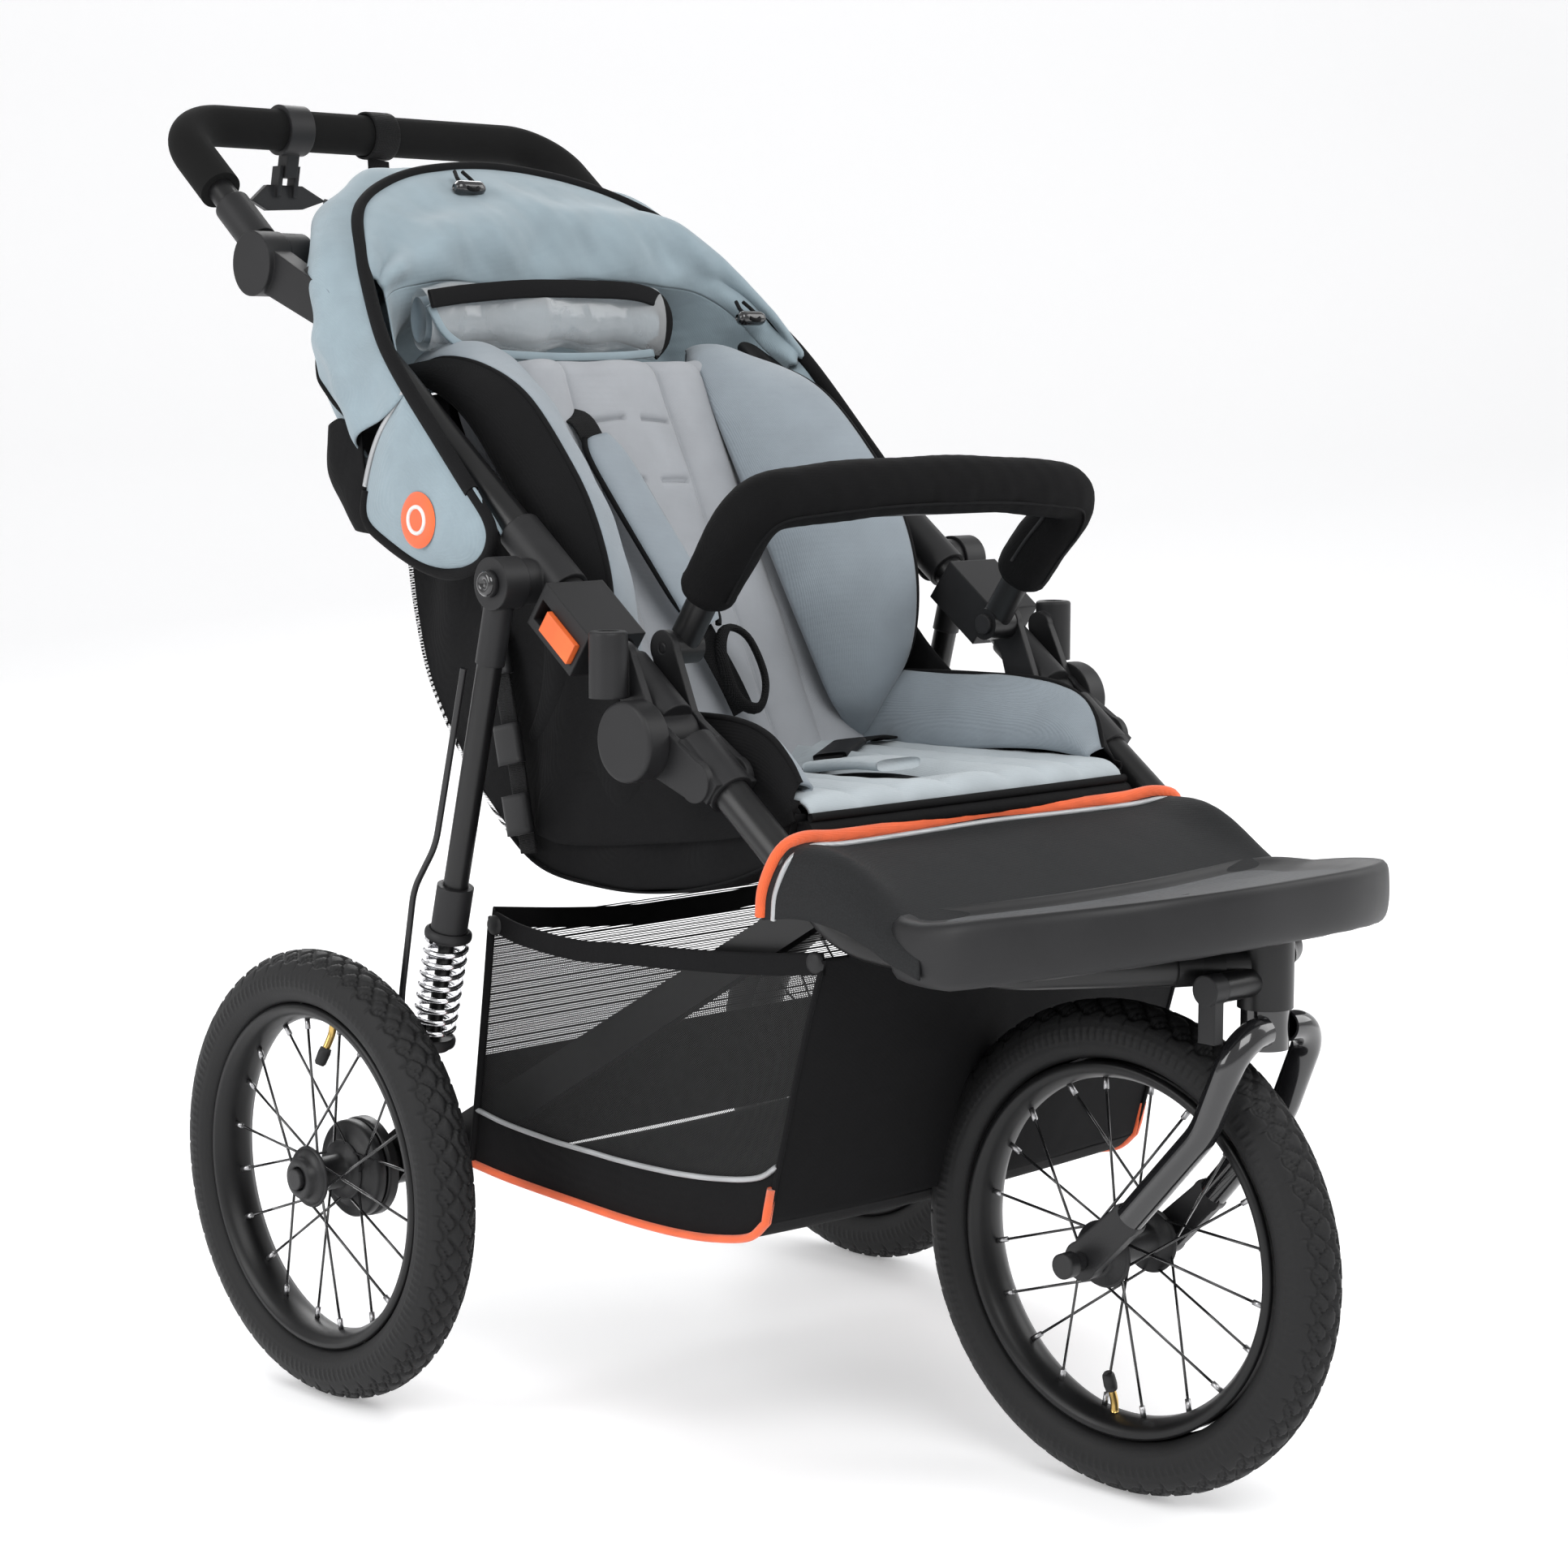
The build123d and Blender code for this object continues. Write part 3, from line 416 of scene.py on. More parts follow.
# ------------------------------------------------------------------ wheels
def wheel(tag, centre, axis, R, body, tyre_node, rim_node, flange, flip, seed, valve_deg, hub_prof, hub_side, hub_node):
    axis = np.asarray(axis, float)
    axis /= np.linalg.norm(axis)
    e1 = np.array([0, 0, 1.0])
    e2 = np.cross(axis, e1)
    c = np.asarray(centre, float)

    def place(r, w, th):
        r, w, th = np.broadcast_arrays(r, w, th)
        return c + axis * w[..., None] + (e1 * np.cos(th)[..., None] + e2 * np.sin(th)[..., None]) * r[..., None]

    n_th = 1080
    prof = [(134.0, -12.0), (136, -16), (139, -19.0), (143, -21.2), (148, -22.2), (154, -22.0), (160, -20.4), (165.5, -17.4), (169.5, -13.2), (172.5, -8.5), (174.2, -4), (174.5, 0)]
    prof = prof + [(r, -w) for r, w in prof[-2::-1]]
    pr = smooth_curve(np.array([(r, w, 0) for r, w in prof]), 66)
    r0 = pr[:, 0] + (R - 174.5)
    w0 = pr[:, 1]
    th = np.linspace(0, 2 * math.pi, n_th, endpoint=False)
    TH, W = np.meshgrid(th, w0, indexing="ij")
    Rr = np.broadcast_to(r0, TH.shape).copy()
    count = 54
    t = TH * count / (2 * math.pi)
    aw = np.abs(W)
    wave = 2.6 * np.sin(2 * math.pi * t)
    g = np.zeros_like(Rr)
    g = np.maximum(g, np.clip(1.7 - np.abs(W - wave * 0.8), 0, 1))
    g = np.maximum(g, np.clip(1.6 - np.abs(aw - 8.0 - wave), 0, 1))
    g = np.maximum(g, np.clip(1.4 - np.abs(aw - 14.5 + wave * 0.6), 0, 1) * 0.9)
    slant = (t + 0.055 * aw + 0.12 * np.sin(aw * 0.5)) % 1.0
    cut = np.clip(1.0 - np.abs(slant - 0.5) / 0.085, 0, 1)
    g = np.maximum(g, cut * ((aw > 8) & (aw < 20.5)))
    slant2 = (t + 0.5 - 0.07 * W) % 1.0
    g = np.maximum(g, np.clip(1.0 - np.abs(slant2 - 0.5) / 0.07, 0, 1) * (aw < 8))
    depth = 2.7 * np.clip((20.8 - aw) / 3, 0, 1) * (Rr > R - 30)
    Rr = Rr - g * depth
    side = (aw > 20.3)
    ring = 0.5 * np.cos((Rr - (R - 174.5)) * 1.4) * side
    tick = 0.35 * (np.sin(TH * 150) > 0.3) * side * (np.abs(Rr - (R - 22)) < 5)
    W2 = W + np.sign(W) * (ring * 0.4 + tick)
    t_o = grid(f"tyre_{tag}_tread", place(Rr, W2, TH), "tyre", body, wrap_u=True)
    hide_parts(tyre_node)
    # rim
    rp = [(133.6, -11), (134.6, -15.5), (132, -17.6), (128, -17.4), (124.5, -12), (121.2, -5), (121.0, 0)]
    rp = rp + [(r, -w) for r, w in rp[-2::-1]] + [(131.5, 9), (129.5, 0), (131.5, -9)]
    rp = np.array(rp, float)
    rp[:, 0] += R - 174.5 if False else 0.0
    TH2, K = np.meshgrid(np.linspace(0, 2 * math.pi, 240, endpoint=False), np.arange(len(rp)), indexing="ij")
    G = place(rp[K, 0], rp[K, 1], TH2)
    rim_o = grid(f"rim_{tag}_hoop", G, "rim", body, wrap_u=True, wrap_v=True)
    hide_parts(rim_node)
    # spokes with nipples
    V, F = [], []
    VN, FN = [], []

    def bar(V, F, p, q, r_, k=8):
        d = q - p
        L = np.linalg.norm(d)
        d = d / L
        a = np.cross(d, [0.3, 0.5, 0.8])
        a /= np.linalg.norm(a)
        b_ = np.cross(d, a)
        base = len(V)
        for s in (p, q):
            for i in range(k):
                an = 2 * math.pi * i / k
                V.append(s + (a * math.cos(an) + b_ * math.sin(an)) * r_)
        for i in range(k):
            j = (i + 1) % k
            F.append((base + i, base + j, base + k + j, base + k + i))
        F.append(tuple(base + i for i in range(k))[::-1])
        F.append(tuple(base + k + i for i in range(k)))

    n_sp = 20
    for i in range(n_sp):
        side_s = -1 if i % 2 else 1
        a_rim = 2 * math.pi * (i + 0.5) / n_sp
        lean = (1 if (i // 2) % 2 else -1) * math.radians(48)
        a_hub = a_rim + lean
        p = place(np.array(19.5), np.array(side_s * flange), np.array(a_hub))
        q = place(np.array(121.5), np.array(side_s * 2.0), np.array(a_rim))
        bar(V, F, p, q, 1.05)
        d = (p - q) / np.linalg.norm(p - q)
        bar(VN, FN, q, q + d * 9, 2.1)
        bar(VN, FN, p - axis * 1.6 * side_s, p + axis * 1.6 * side_s, 2.2)
    so = make(f"spokes_{tag}", V, F, "gloss", body)
    no = make(f"spoke_nipples_{tag}", VN, FN, "steel", body)
    hp = np.array(hub_prof, float)
    TH4, K = np.meshgrid(np.linspace(0, 2 * math.pi, 120, endpoint=False), np.arange(len(hp)), indexing="ij")
    ho = grid(f"hub_{tag}_shell", place(hp[K, 0], hp[K, 1] * hub_side, TH4), "darkcast", body, wrap_u=True, wrap_v=True)
    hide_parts(hub_node)
    # hub rings on the flanges
    for s in (-1, 1):
        rr = np.array([(13.5, 0), (23.2, 0), (24.0, 1.0), (23.2, 2.6), (16, 3.0), (13.5, 4.2)])
        TH3, K = np.meshgrid(np.linspace(0, 2 * math.pi, 96, endpoint=False), np.arange(len(rr)), indexing="ij")
        G = place(rr[K, 0], s * (flange - 1.5 + rr[K, 1]), TH3)
        grid(f"hub_flange_{tag}_{'a' if s < 0 else 'b'}", G, "darkcast", body, wrap_u=True, wrap_v=True)
    # valve
    va = math.radians(valve_deg)
    rad = e1 * math.cos(va) + e2 * math.sin(va)
    side_v = axis * flip * 3.0
    p0 = c + rad * 121 + side_v
    path = smooth_curve([p0, p0 - rad * 8 + side_v * 0.3, p0 - rad * 19 + side_v * 1.8], 10)
    sweep(f"valve_stem_{tag}", path, 2.9, "brass", body)
    capd = path[-1] - path[-2]
    capd /= np.linalg.norm(capd)
    cp = np.array([path[-1] - capd * 1, path[-1] + capd * 3, path[-1] + capd * 11, path[-1] + capd * 13])
    sweep(f"valve_cap_{tag}", cp, [4.4, 4.9, 4.5, 3.2], "housing", body)


REAR_HUB = [(6.05, -30.7), (20, -30.7), (36.5, -30.7), (38, -29.2), (38, -22.5), (36.5, -21), (30, -20.6), (29, -19.4), (23, -18), (22, -14), (14.5, -12.5), (13, -11), (13, 11.5), (14.5, 13.2), (22, 14), (22, 18), (17.5, 19.4), (15.5, 21), (15.5, 25.5), (14.2, 27), (10.2, 27), (9, 26), (9, 21), (6.05, 21)]
FRONT_HUB = [(6.05, -38), (14, -38), (15, -37), (15, -30.5), (22, -29), (22, -25), (13.2, -22.6), (12, -21), (12, 21), (13.2, 22.6), (22, 25), (22, 29), (15, 30.5), (15, 37), (14, 38), (6.05, 38)]
wheel("rear_left", (291, 0, 174.5), (1, 0, 0), 174.5, "rear_wheel_left", "rear_tyre_left", "rear_rim_left", 16.0, 1, 1, 5, REAR_HUB, 1, "rear_hub_left")
wheel("rear_right", (-291, 0, 174.5), (1, 0, 0), 174.5, "rear_wheel_right", "rear_tyre_right", "rear_rim_right", 16.0, -1, 2, 8, REAR_HUB, -1, "rear_hub_right")
c3, s3 = math.cos(math.radians(3)), math.sin(math.radians(3))
wheel("front", (-5.966, -566.156, 176.5), (c3, s3, 0), 176.5, "front_wheel", "front_tyre", "front_rim", 27.0, -1, 3, 183, FRONT_HUB, 1, "front_hub")

# ------------------------------------------------------------------ seat
SF, SR = np.array([-402.0, 452.0]), np.array([-158.0, 412.0])
sd = (SR - SF) / np.linalg.norm(SR - SF)
sn = np.array([-sd[1], sd[0]])
BIGHT = np.array([-150.0, 428.0])
BT = np.array([34.0, 806.0])
bd = (BT - BIGHT) / np.linalg.norm(BT - BIGHT)
bn = np.array([-bd[1], bd[0]])


def seatp(x, s, h):
    x, s, h = np.broadcast_arrays(np.asarray(x, float), s, h)
    return np.stack([x, SF[0] + sd[0] * s + sn[0] * h, SF[1] + sd[1] * s + sn[1] * h], -1)


def backp(x, s, h):
    x, s, h = np.broadcast_arrays(np.asarray(x, float), s, h)
    return np.stack([x, BIGHT[0] + bd[0] * s + bn[0] * h, BIGHT[1] + bd[1] * s + bn[1] * h], -1)


def pillow(x, cuts, height, p=0.55):
    out = np.zeros_like(x)
    for a, b_ in zip(cuts[:-1], cuts[1:]):
        k = (x >= a) & (x <= b_)
        f = (x - a) / (b_ - a)
        out = np.where(k, height * np.abs(np.sin(math.pi * np.clip(f, 0, 1))) ** p, out)
    return out


# back liner
nx, ns = 150, 170
xs = np.linspace(-152, 152, nx)
ss = np.linspace(36, 404, ns)
X, S = np.meshgrid(xs, ss, indexing="ij")
half = 150 - 10 * np.clip((S - 352) / 52, 0, 1) ** 2
Xs = X / 152 * half
H = 24 + pillow(X, [-152, -98, -52, 0 - 46 + 94, 98, 152], 9.5)
H = H + 0.9 * np.sin(S / 21.0) * np.exp(-((np.abs(X) - 50) / 60) ** 2)
for cs in (290, 345):
    k = np.exp(-((S - cs) / 2.2) ** 2) * (np.abs(np.abs(X) - 25) < 17)
    H = H - 6 * k
edge = np.clip((404 - S) / 18, 0, 1)
H = 8 + (H - 8) * np.sqrt(np.clip(edge, 0, 1) * (2 - np.clip(edge, 0, 1)))
side_e = np.clip((152 - np.abs(X)) / 12, 0, 1)
H = 6 + (H - 6) * np.sqrt(side_e * (2 - side_e))
G = backp(Xs, S, H)
G += fold(G, 0.012, 1.6, 3)
liner = grid("seat_back_liner", G, "silver", "seat_back", thick=3)
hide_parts("seat_back_pad", "seat_back_board")
# the liner's rear face
G = backp(Xs[::4, ::4], S[::4, ::4], 0 * S[::4, ::4] - 6)
grid("seat_back_rear_cloth", G, "black", "seat_back", thick=3)

# side bolsters of the back: inner seam on the liner, free crest at the front
outer = np.array([(146, 70, 790), (152, 20, 800), (156, -38, 793), (158, -90, 771), (160, -138, 727), (161, -170, 686), (161, -190, 636), (160, -191, 584), (156, -176, 545), (146, -138, 506)], float)
inner = np.array([(118, 40, 796), (98, 4, 795), (92, -20, 765), (90, -50, 718), (90, -84, 662), (92, -112, 612), (96, -136, 566), (104, -150, 530), (118, -150, 512), (130, -140, 500)], float)
for side in (1, -1):
    G = ruled(inner, outer, 90, 36, bulge=0)
    t = np.linspace(0, 1, 36)
    puff = np.sin(math.pi * t) ** 0.7 * 15
    n = normals(G)
    ctr = n[45, 18]
    if ctr @ np.array([-0.3, -1.0, 0.2]) < 0:
        n = -n
    G = G + n * puff[None, :, None]
    G += fold(G, 0.014, 1.8, 5) * np.sin(math.pi * t)[None, :, None]
    if side < 0:
        G = mirror_x(G)
    bo = grid("bolster_left" if side > 0 else "bolster_right", G, "bolster", "seat_back", thick=3)
    # black outer face of the bolster
    G2 = ruled(outer, outer * [1, 1, 1] + np.array([14, 62, -14]), 90, 20, bulge=0)
    tt = np.linspace(0, 1, 20)
    G2[..., 0] += (np.sin(math.pi * tt) * 9)[None, :]
    if side < 0:
        G2 = mirror_x(G2)
    grid("bolster_back_left" if side > 0 else "bolster_back_right", G2, "black", "seat_back", thick=2)
    ed = smooth_curve(outer, 90)
    if side < 0:
        ed = mirror_x(ed)
    sweep("bolster_welt_left" if side > 0 else "bolster_welt_right", ed, 2.2, "black", "seat_back", seg=8)

# seat base liner
nx, ns = 140, 90
xs = np.linspace(-164, 164, nx)
ss = np.linspace(-12, 250, ns)
X, S = np.meshgrid(xs, ss, indexing="ij")
H = 39 + pillow(X, [-164, -118, -74, -30, 30, 74, 118, 164], 5.0) + 0.15 * S * np.clip((np.abs(X) - 28) / 34, 0, 1)
fe = np.clip((S + 12) / 14, 0, 1)
H = 26 + (H - 26) * np.sqrt(fe * (2 - fe))
bow_front = -9 * (1 - (X / 164) ** 2)
G = seatp(X, S + bow_front * np.clip(1 - (S + 12) / 90, 0, 1), H)
G += fold(G, 0.012, 1.5, 9)
sb = grid("seat_base_liner", G, "lightlip", "root", thick=3)
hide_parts("seat_base_pad")
# front edge: black binding and the layered black cushion body under it
fx = np.linspace(-166, 166, 80)
fb = seatp(fx, -13 - 9 * (1 - (fx / 166) ** 2), 27.0)
sweep("seat_front_binding", fb, 3.2, "black", "root", seg=10)
for k, (h, dep) in enumerate(((19.0, 1.0), (9.0, 4.0))):
    loop_x = np.concatenate([np.linspace(-168, 168, 70)])
    fbk = seatp(loop_x, -9 + dep - 9 * (1 - (loop_x / 168) ** 2), h)
    sweep(f"seat_front_layer_{k}", fbk, 6.2, "black", "root", seg=14, r2=9.0, noise=0.6)
xs = np.linspace(-168, 168, 60)
ss = np.linspace(-6, 235, 40)
X, S = np.meshgrid(xs, ss, indexing="ij")
for k, h in enumerate((24.0, 2.0)):
    grid(f"seat_body_{k}", seatp(X, S - 6 * (1 - (X / 168) ** 2) * np.clip(1 - S / 80, 0, 1), h), "black", "root", thick=2)

# raised side wings of the seat base
for side in (1, -1):
    top = np.array([(158, -120, 500), (159, -126, 530), (160, -140, 545), (161, -200, 549), (162, -270, 551), (163, -330, 551), (163, -364, 543), (162, -384, 527), (160, -394, 503)], float)
    low = np.array([(146, -130, 478), (144, -150, 480), (142, -180, 486), (140, -220, 491), (139, -260, 494), (139, -300, 498), (141, -340, 500), (146, -370, 499), (152, -390, 495)], float)
    if side < 0:
        top = top - np.array([[0, 0, 8.0 if p[2] > 515 else 0.0] for p in top])
    G = ruled(low, top, 80, 26)
    t = np.linspace(0, 1, 26)
    G[..., 0] -= (np.sin(math.pi * t) ** 0.7 * 9)[None, :]
    G += fold(G, 0.015, 1.2, 11)
    if side < 0:
        G = mirror_x(G)
    wg = grid("seat_wing_left" if side > 0 else "seat_wing_right", G, "bolster", "root", thick=3)
    out = top + np.array([9, 0, -2])
    bot = np.array([(174, -118, 440), (175, -150, 436), (176, -200, 440), (176, -260, 448), (176, -310, 455), (176, -350, 462), (175, -380, 470), (174, -394, 474), (172, -402, 478)], float)
    G = ruled(top, bot, 80, 26)
    G[..., 0] += (np.sin(math.pi * t) * 5)[None, :]
    if side < 0:
        G = mirror_x(G)
    grid("seat_wing_back_left" if side > 0 else "seat_wing_back_right", G, "black", "root", thick=2)
    ed = smooth_curve(top, 80)
    if side < 0:
        ed = mirror_x(ed)
    sweep("seat_wing_welt_left" if side > 0 else "seat_wing_welt_right", ed, 2.4, "black", "root", seg=8)

# side skirts: from the bottom line of the sling up past the tubes to the seat
bottom = np.array([(171, -402, 484), (172, -384, 452), (172, -330, 428), (172, -260, 412), (172, -193, 408), (172, -120, 415), (172, -70, 445), (172, -20, 494), (172, 18, 548), (172, 36, 600), (170, 46, 650)], float)
topc = np.array([(174, -404, 492), (176, -385, 494), (178, -330, 500), (180, -270, 520), (180, -215, 552), (180, -170, 590), (180, -130, 626), (180, -92, 660), (178, -50, 690), (175, -5, 716), (170, 40, 730)], float)
for side in (1, -1):
    G = ruled(bottom, topc, 110, 40)
    t = np.linspace(0, 1, 40)
    u = np.linspace(0, 1, 110)
    wr = 2.2 * np.sin(u * 40)[:, None] * np.sin(math.pi * t)[None, :] + 3 * np.sin(u * 17 + 1)[:, None] * np.sin(math.pi * t)[None, :] ** 2
    G[..., 0] += wr - 4
    G += fold(G, 0.01, 2.0, 21)
    if side < 0:
        G = mirror_x(G)
    sk = grid("side_skirt_left" if side > 0 else "side_skirt_right", G, "black", "root", thick=1.6)
    if side > 0:
        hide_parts("seat_skirt")
# under and rear sling between the sides
bc = smooth_curve(bottom, 90)
xs = np.linspace(-1, 1, 60)
G = np.zeros((90, 60, 3))
for j, t in enumerate(xs):
    G[:, j, 0] = 172 * t
    G[:, j, 1] = bc[:, 1] + 6 * (1 - t * t)
    G[:, j, 2] = bc[:, 2] - 5 * (1 - t * t) + 1.5 * math.sin(t * 9)
split = 52
under = grid("seat_under_cloth", G[: split + 1], "black", "root", thick=1.6)
rear = grid("rear_mesh_sling", G[split:], "mesh", "seat_back")
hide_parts("rear_sling")

# ------------------------------------------------------------------ harness
def on_back(x, s, h):
    return backp(np.array(x, float), np.array(s, float), np.array(h, float))


bnorm = np.array([0, bn[0], bn[1]])
snorm = np.array([0, sn[0], sn[1]])
st = smooth_curve(on_back([-62, -58, -54, -48, -38, -20, -4, 6], [352, 340, 310, 270, 225, 165, 115, 85], [26, 38, 42, 46, 50, 52, 50, 46]), 60)
sweep("shoulder_strap_web", st, 1.1, "webbing", "seat_back", seg=12, r2=12.5, normal=bnorm, power=0.35)
padp = smooth_curve(on_back([-57, -50, -40, -26, -12], [322, 285, 240, 192, 155], [46, 51, 55, 57, 56]), 50)
w = 20 * (1 - np.abs(np.linspace(-1, 1, 50)) ** 8 * 0.45)
pd = sweep("shoulder_pad", padp, 6.5, "bolster", "seat_back", seg=20, r2=w, normal=bnorm, power=0.6)
for k, s in enumerate((-1, 1)):
    e = padp + np.array([s, 0, 0]) * (w[:, None])
    sweep(f"shoulder_pad_edge_{k}", e, 2.6, "black", "seat_back", seg=8)
loop = smooth_curve([p for p in on_back([2, 20, 24, 10, -8, -12], [150, 140, 105, 82, 92, 128], [60, 62, 62, 60, 58, 60])], 40, closed=True)
sweep("strap_loop", loop, 3.0, "webbing", "seat_back", seg=10, r2=5, closed=True)
# waist and crotch straps with their buckle
cr = smooth_curve(seatp(np.array([-2, -2, -3, -4.0]), np.array([48.0, 85, 125, 168]), np.array([44.0, 50, 53, 52.0])), 40)
sweep("crotch_strap", cr, 1.2, "webbing", "root", seg=12, r2=14, normal=snorm, power=0.35)
cp = smooth_curve(seatp(np.array([-2, -2, -3.0]), np.array([60.0, 95, 140]), np.array([52.0, 56, 57])), 30)
cpd = sweep("crotch_pad", cp + [0, 0, 5.0], 4.6, "lightlip", "root", seg=18, r2=23, normal=snorm, power=0.55)
for s, nm in ((-1, "right"), (1, "left")):
    ws = smooth_curve(seatp(np.array([s * 8, s * 40, s * 80, s * 112, s * 134.0]), np.array([180.0, 186, 196, 204, 208]), np.array([53.0, 64, 76, 80, 78])), 50)
    sweep(f"waist_strap_{nm}", ws, 1.2, "webbing", "root", seg=12, r2=12.5, normal=snorm, power=0.35)
    a = seatp(np.array([s * 52.0]), np.array([189.0]), np.array([68.0]))[0]
    b2 = seatp(np.array([s * 82.0]), np.array([196.0]), np.array([78.0]))[0]
    sweep(f"waist_ladder_{nm}", lines([a, b2], 8), 3.4, "housing", "root", seg=16, r2=16, normal=snorm, power=0.4)

# side release straps between the skirts and the tubes
for s, nm in ((-1, "right"), (1, "left")):
    p = smooth_curve([(s * 181, -60, 655), (s * 183, -78, 600), (s * 182, -92, 540), (s * 180, -104, 480), (s * 177, -112, 425)], 60)
    sweep(f"side_strap_{nm}", p, 1.2, "webbing", "root", seg=12, r2=10, normal=np.array([s, 0, 0]), power=0.35)
    for k, (y, z) in enumerate(((-84, 575), (-98, 508), (-108, 455))):
        sweep(f"side_buckle_{nm}_{k}", lines([(s * 184, y + 4, z + 15), (s * 184, y - 3, z - 15)], 8), 4.2, "housing", "root", seg=16, r2=14, normal=np.array([s, 0, 0]), power=0.4)

# ------------------------------------------------------------------ bumper cover
BX = 164.5
bp_ = np.array([(164.5, -299, 628), (166, -322, 657), (168, -344, 682), (156, -356, 697), (120, -362, 702), (60, -367, 706), (0, -368, 707), (-60, -367, 706), (-120, -362, 702), (-156, -356, 697), (-168, -344, 682), (-166, -322, 657), (-164.5, -299, 628)], float)
pp = smooth_curve(bp_, 150)
rr = 21.5 + 0.5 * np.sin(np.linspace(0, 30, 150))
rr[:4] = [15, 19, 21, 21.5]
rr[-4:] = [21.5, 21, 19, 15]
bc_ = sweep("bumper_padding", pp, rr, "blackpad", "bumper", seg=36, noise=0.8)
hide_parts("bumper_cover")
T_, N_, B_ = frames(pp)
sweep("bumper_seam", pp[4:-4] - N_[4:-4] * 21.6, 1.0, "black", "bumper", seg=8)
sweep("bumper_zip", pp[6:34] + B_[6:34] * 21.2, 1.3, "housing", "bumper", seg=10, r2=3.0)

# ------------------------------------------------------------------ calf panel
topc_ = np.array([(214, -414, 415), (215, -418, 436), (209, -426, 459), (186, -424, 466), (150, -422, 464), (80, -420, 464), (0, -419, 465), (-80, -420, 464), (-150, -422, 464), (-186, -424, 466), (-209, -426, 459), (-215, -418, 436), (-214, -414, 415)], float)
botc_ = np.array([(216, -566, 394), (216, -566, 403), (210, -562, 410), (190, -556, 414), (150, -546, 418), (80, -538, 421), (0, -536, 422), (-80, -538, 421), (-150, -546, 418), (-190, -556, 414), (-210, -562, 410), (-216, -566, 403), (-216, -566, 394)], float)
G = ruled(topc_, botc_, 150, 50)
t = np.linspace(0, 1, 50)
G[..., 2] += (np.sin(math.pi * t) * 5)[None, :]
G[..., 2] += 13 * np.exp(-((np.abs(G[..., 0]) - 200) / 20) ** 2) * np.sin(math.pi * np.clip(t * 1.25, 0, 1))[None, :]
G += fold(G, 0.008, 1.8, 31) * np.sin(math.pi * t)[None, :, None]
cpn = grid("calf_panel_cloth", G, "calf", "root", thick=2)
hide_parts("calf_panel")
edge_c = smooth_curve(topc_, 120)
sweep("calf_orange_edge", edge_c + [0, 1, 3.0], 4.2, "orange_tape", "root", seg=12, r2=6.0)
e2_ = smooth_curve(topc_ * 0.93 + botc_ * 0.07, 120) + [0, 0, 2.6]
sweep("calf_silver_piping", e2_, 2.2, "silver_tape", "root", seg=10)
# the apron under the panel, down to the basket front
ap_t = np.array([(168, -452, 436), (0, -454, 440), (-168, -452, 436)], float)
ap_b = np.array([(176, -460, 390), (0, -462, 388), (-176, -460, 390)], float)
grid("calf_apron", ruled(ap_t, ap_b, 40, 10, bulge=3), "black", "root", thick=1.6)

# ------------------------------------------------------------------ basket
top_s = np.array([(-92, 376), (-128, 369), (-190, 366), (-242, 370), (-300, 374), (-348, 378), (-405, 384), (-456, 391)], float)
low_s = np.array([(-62, 178), (-110, 174), (-183, 171), (-250, 169), (-303, 170), (-345, 174), (-381, 182), (-399, 196)], float)
for s, nm in ((-1, "right"), (1, "left")):
    A = np.column_stack([np.full(8, s * 197.0), top_s])
    B = np.column_stack([np.full(8, s * 196.0), low_s])
    G = ruled(A, B, 120, 60)
    t = np.linspace(0, 1, 60)
    u = np.linspace(0, 1, 120)
    G[..., 0] += s * (np.sin(math.pi * t)[None, :] * np.sin(math.pi * u)[:, None] * 7)
    G += fold(G, 0.007, 2.0, 41) * np.sin(math.pi * t)[None, :, None]
    if s < 0:
        near_grid = G
    cutj = 46
    a = grid(f"basket_side_mesh_{nm}", G[:, : cutj + 1], "mesh", "root")
    b2 = grid(f"basket_side_band_{nm}", G[:, cutj:], "black", "root", thick=1.4)
    if s < 0:
        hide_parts("basket")
        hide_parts("basket_liner")
    sweep(f"basket_rim_{nm}", G[:, 0] + [0, 0, -3], 1.8, "black", "root", seg=10, r2=8, normal=np.array([s, 0, 0]), power=0.5)
    dip = G[:, cutj] + np.array([s * 1.6, 0, 0])
    sweep(f"basket_piping_{nm}", dip, 2.1, "silver_tape", "root", seg=8)
    sweep(f"basket_orange_{nm}", np.vstack([G[:, -1], [(s * 197, -402, 206), (s * 197, -406, 222)]]) + [s * 1.2, 0, 0], 3.0, "orange_tape", "root", seg=10, r2=4.2)
    fe_ = G[-1] + [s * 1.0, -1, 0]
    sweep(f"basket_front_seam_{nm}", fe_, 2.0, "black", "root", seg=8)
    sweep(f"basket_rear_seam_{nm}", G[0] + [s * 1.0, 0, 0], 3.2, "black", "root", seg=8)
    # snaps
    for k, (y, z) in enumerate(((-96, 370), (-450, 388))):
        rr = np.array([(0.01, 3.4), (5, 3.2), (7.2, 2.2), (8.0, 0.0)])
        TH3, K = np.meshgrid(np.linspace(0, 2 * math.pi, 32, endpoint=False), np.arange(4), indexing="ij")
        GG = np.stack([s * (198.5 + rr[K, 1]), y + rr[K, 0] * np.cos(TH3), z + rr[K, 0] * np.sin(TH3)], -1)
        grid(f"basket_snap_{nm}_{k}", GG, "housing", "root", wrap_u=True)
front_n = near_grid[-1]
front_f = mirror_x(near_grid[-1])
G = np.array([front_n * (1 - k) + front_f * k for k in np.linspace(0, 1, 60)])
G[..., 1] -= (np.sin(math.pi * np.linspace(0, 1, 60)) * 10)[:, None]
G += fold(G, 0.006, 2.0, 43)
grid("basket_front", G, "black", "root", thick=1.6)
rear_n = near_grid[0]
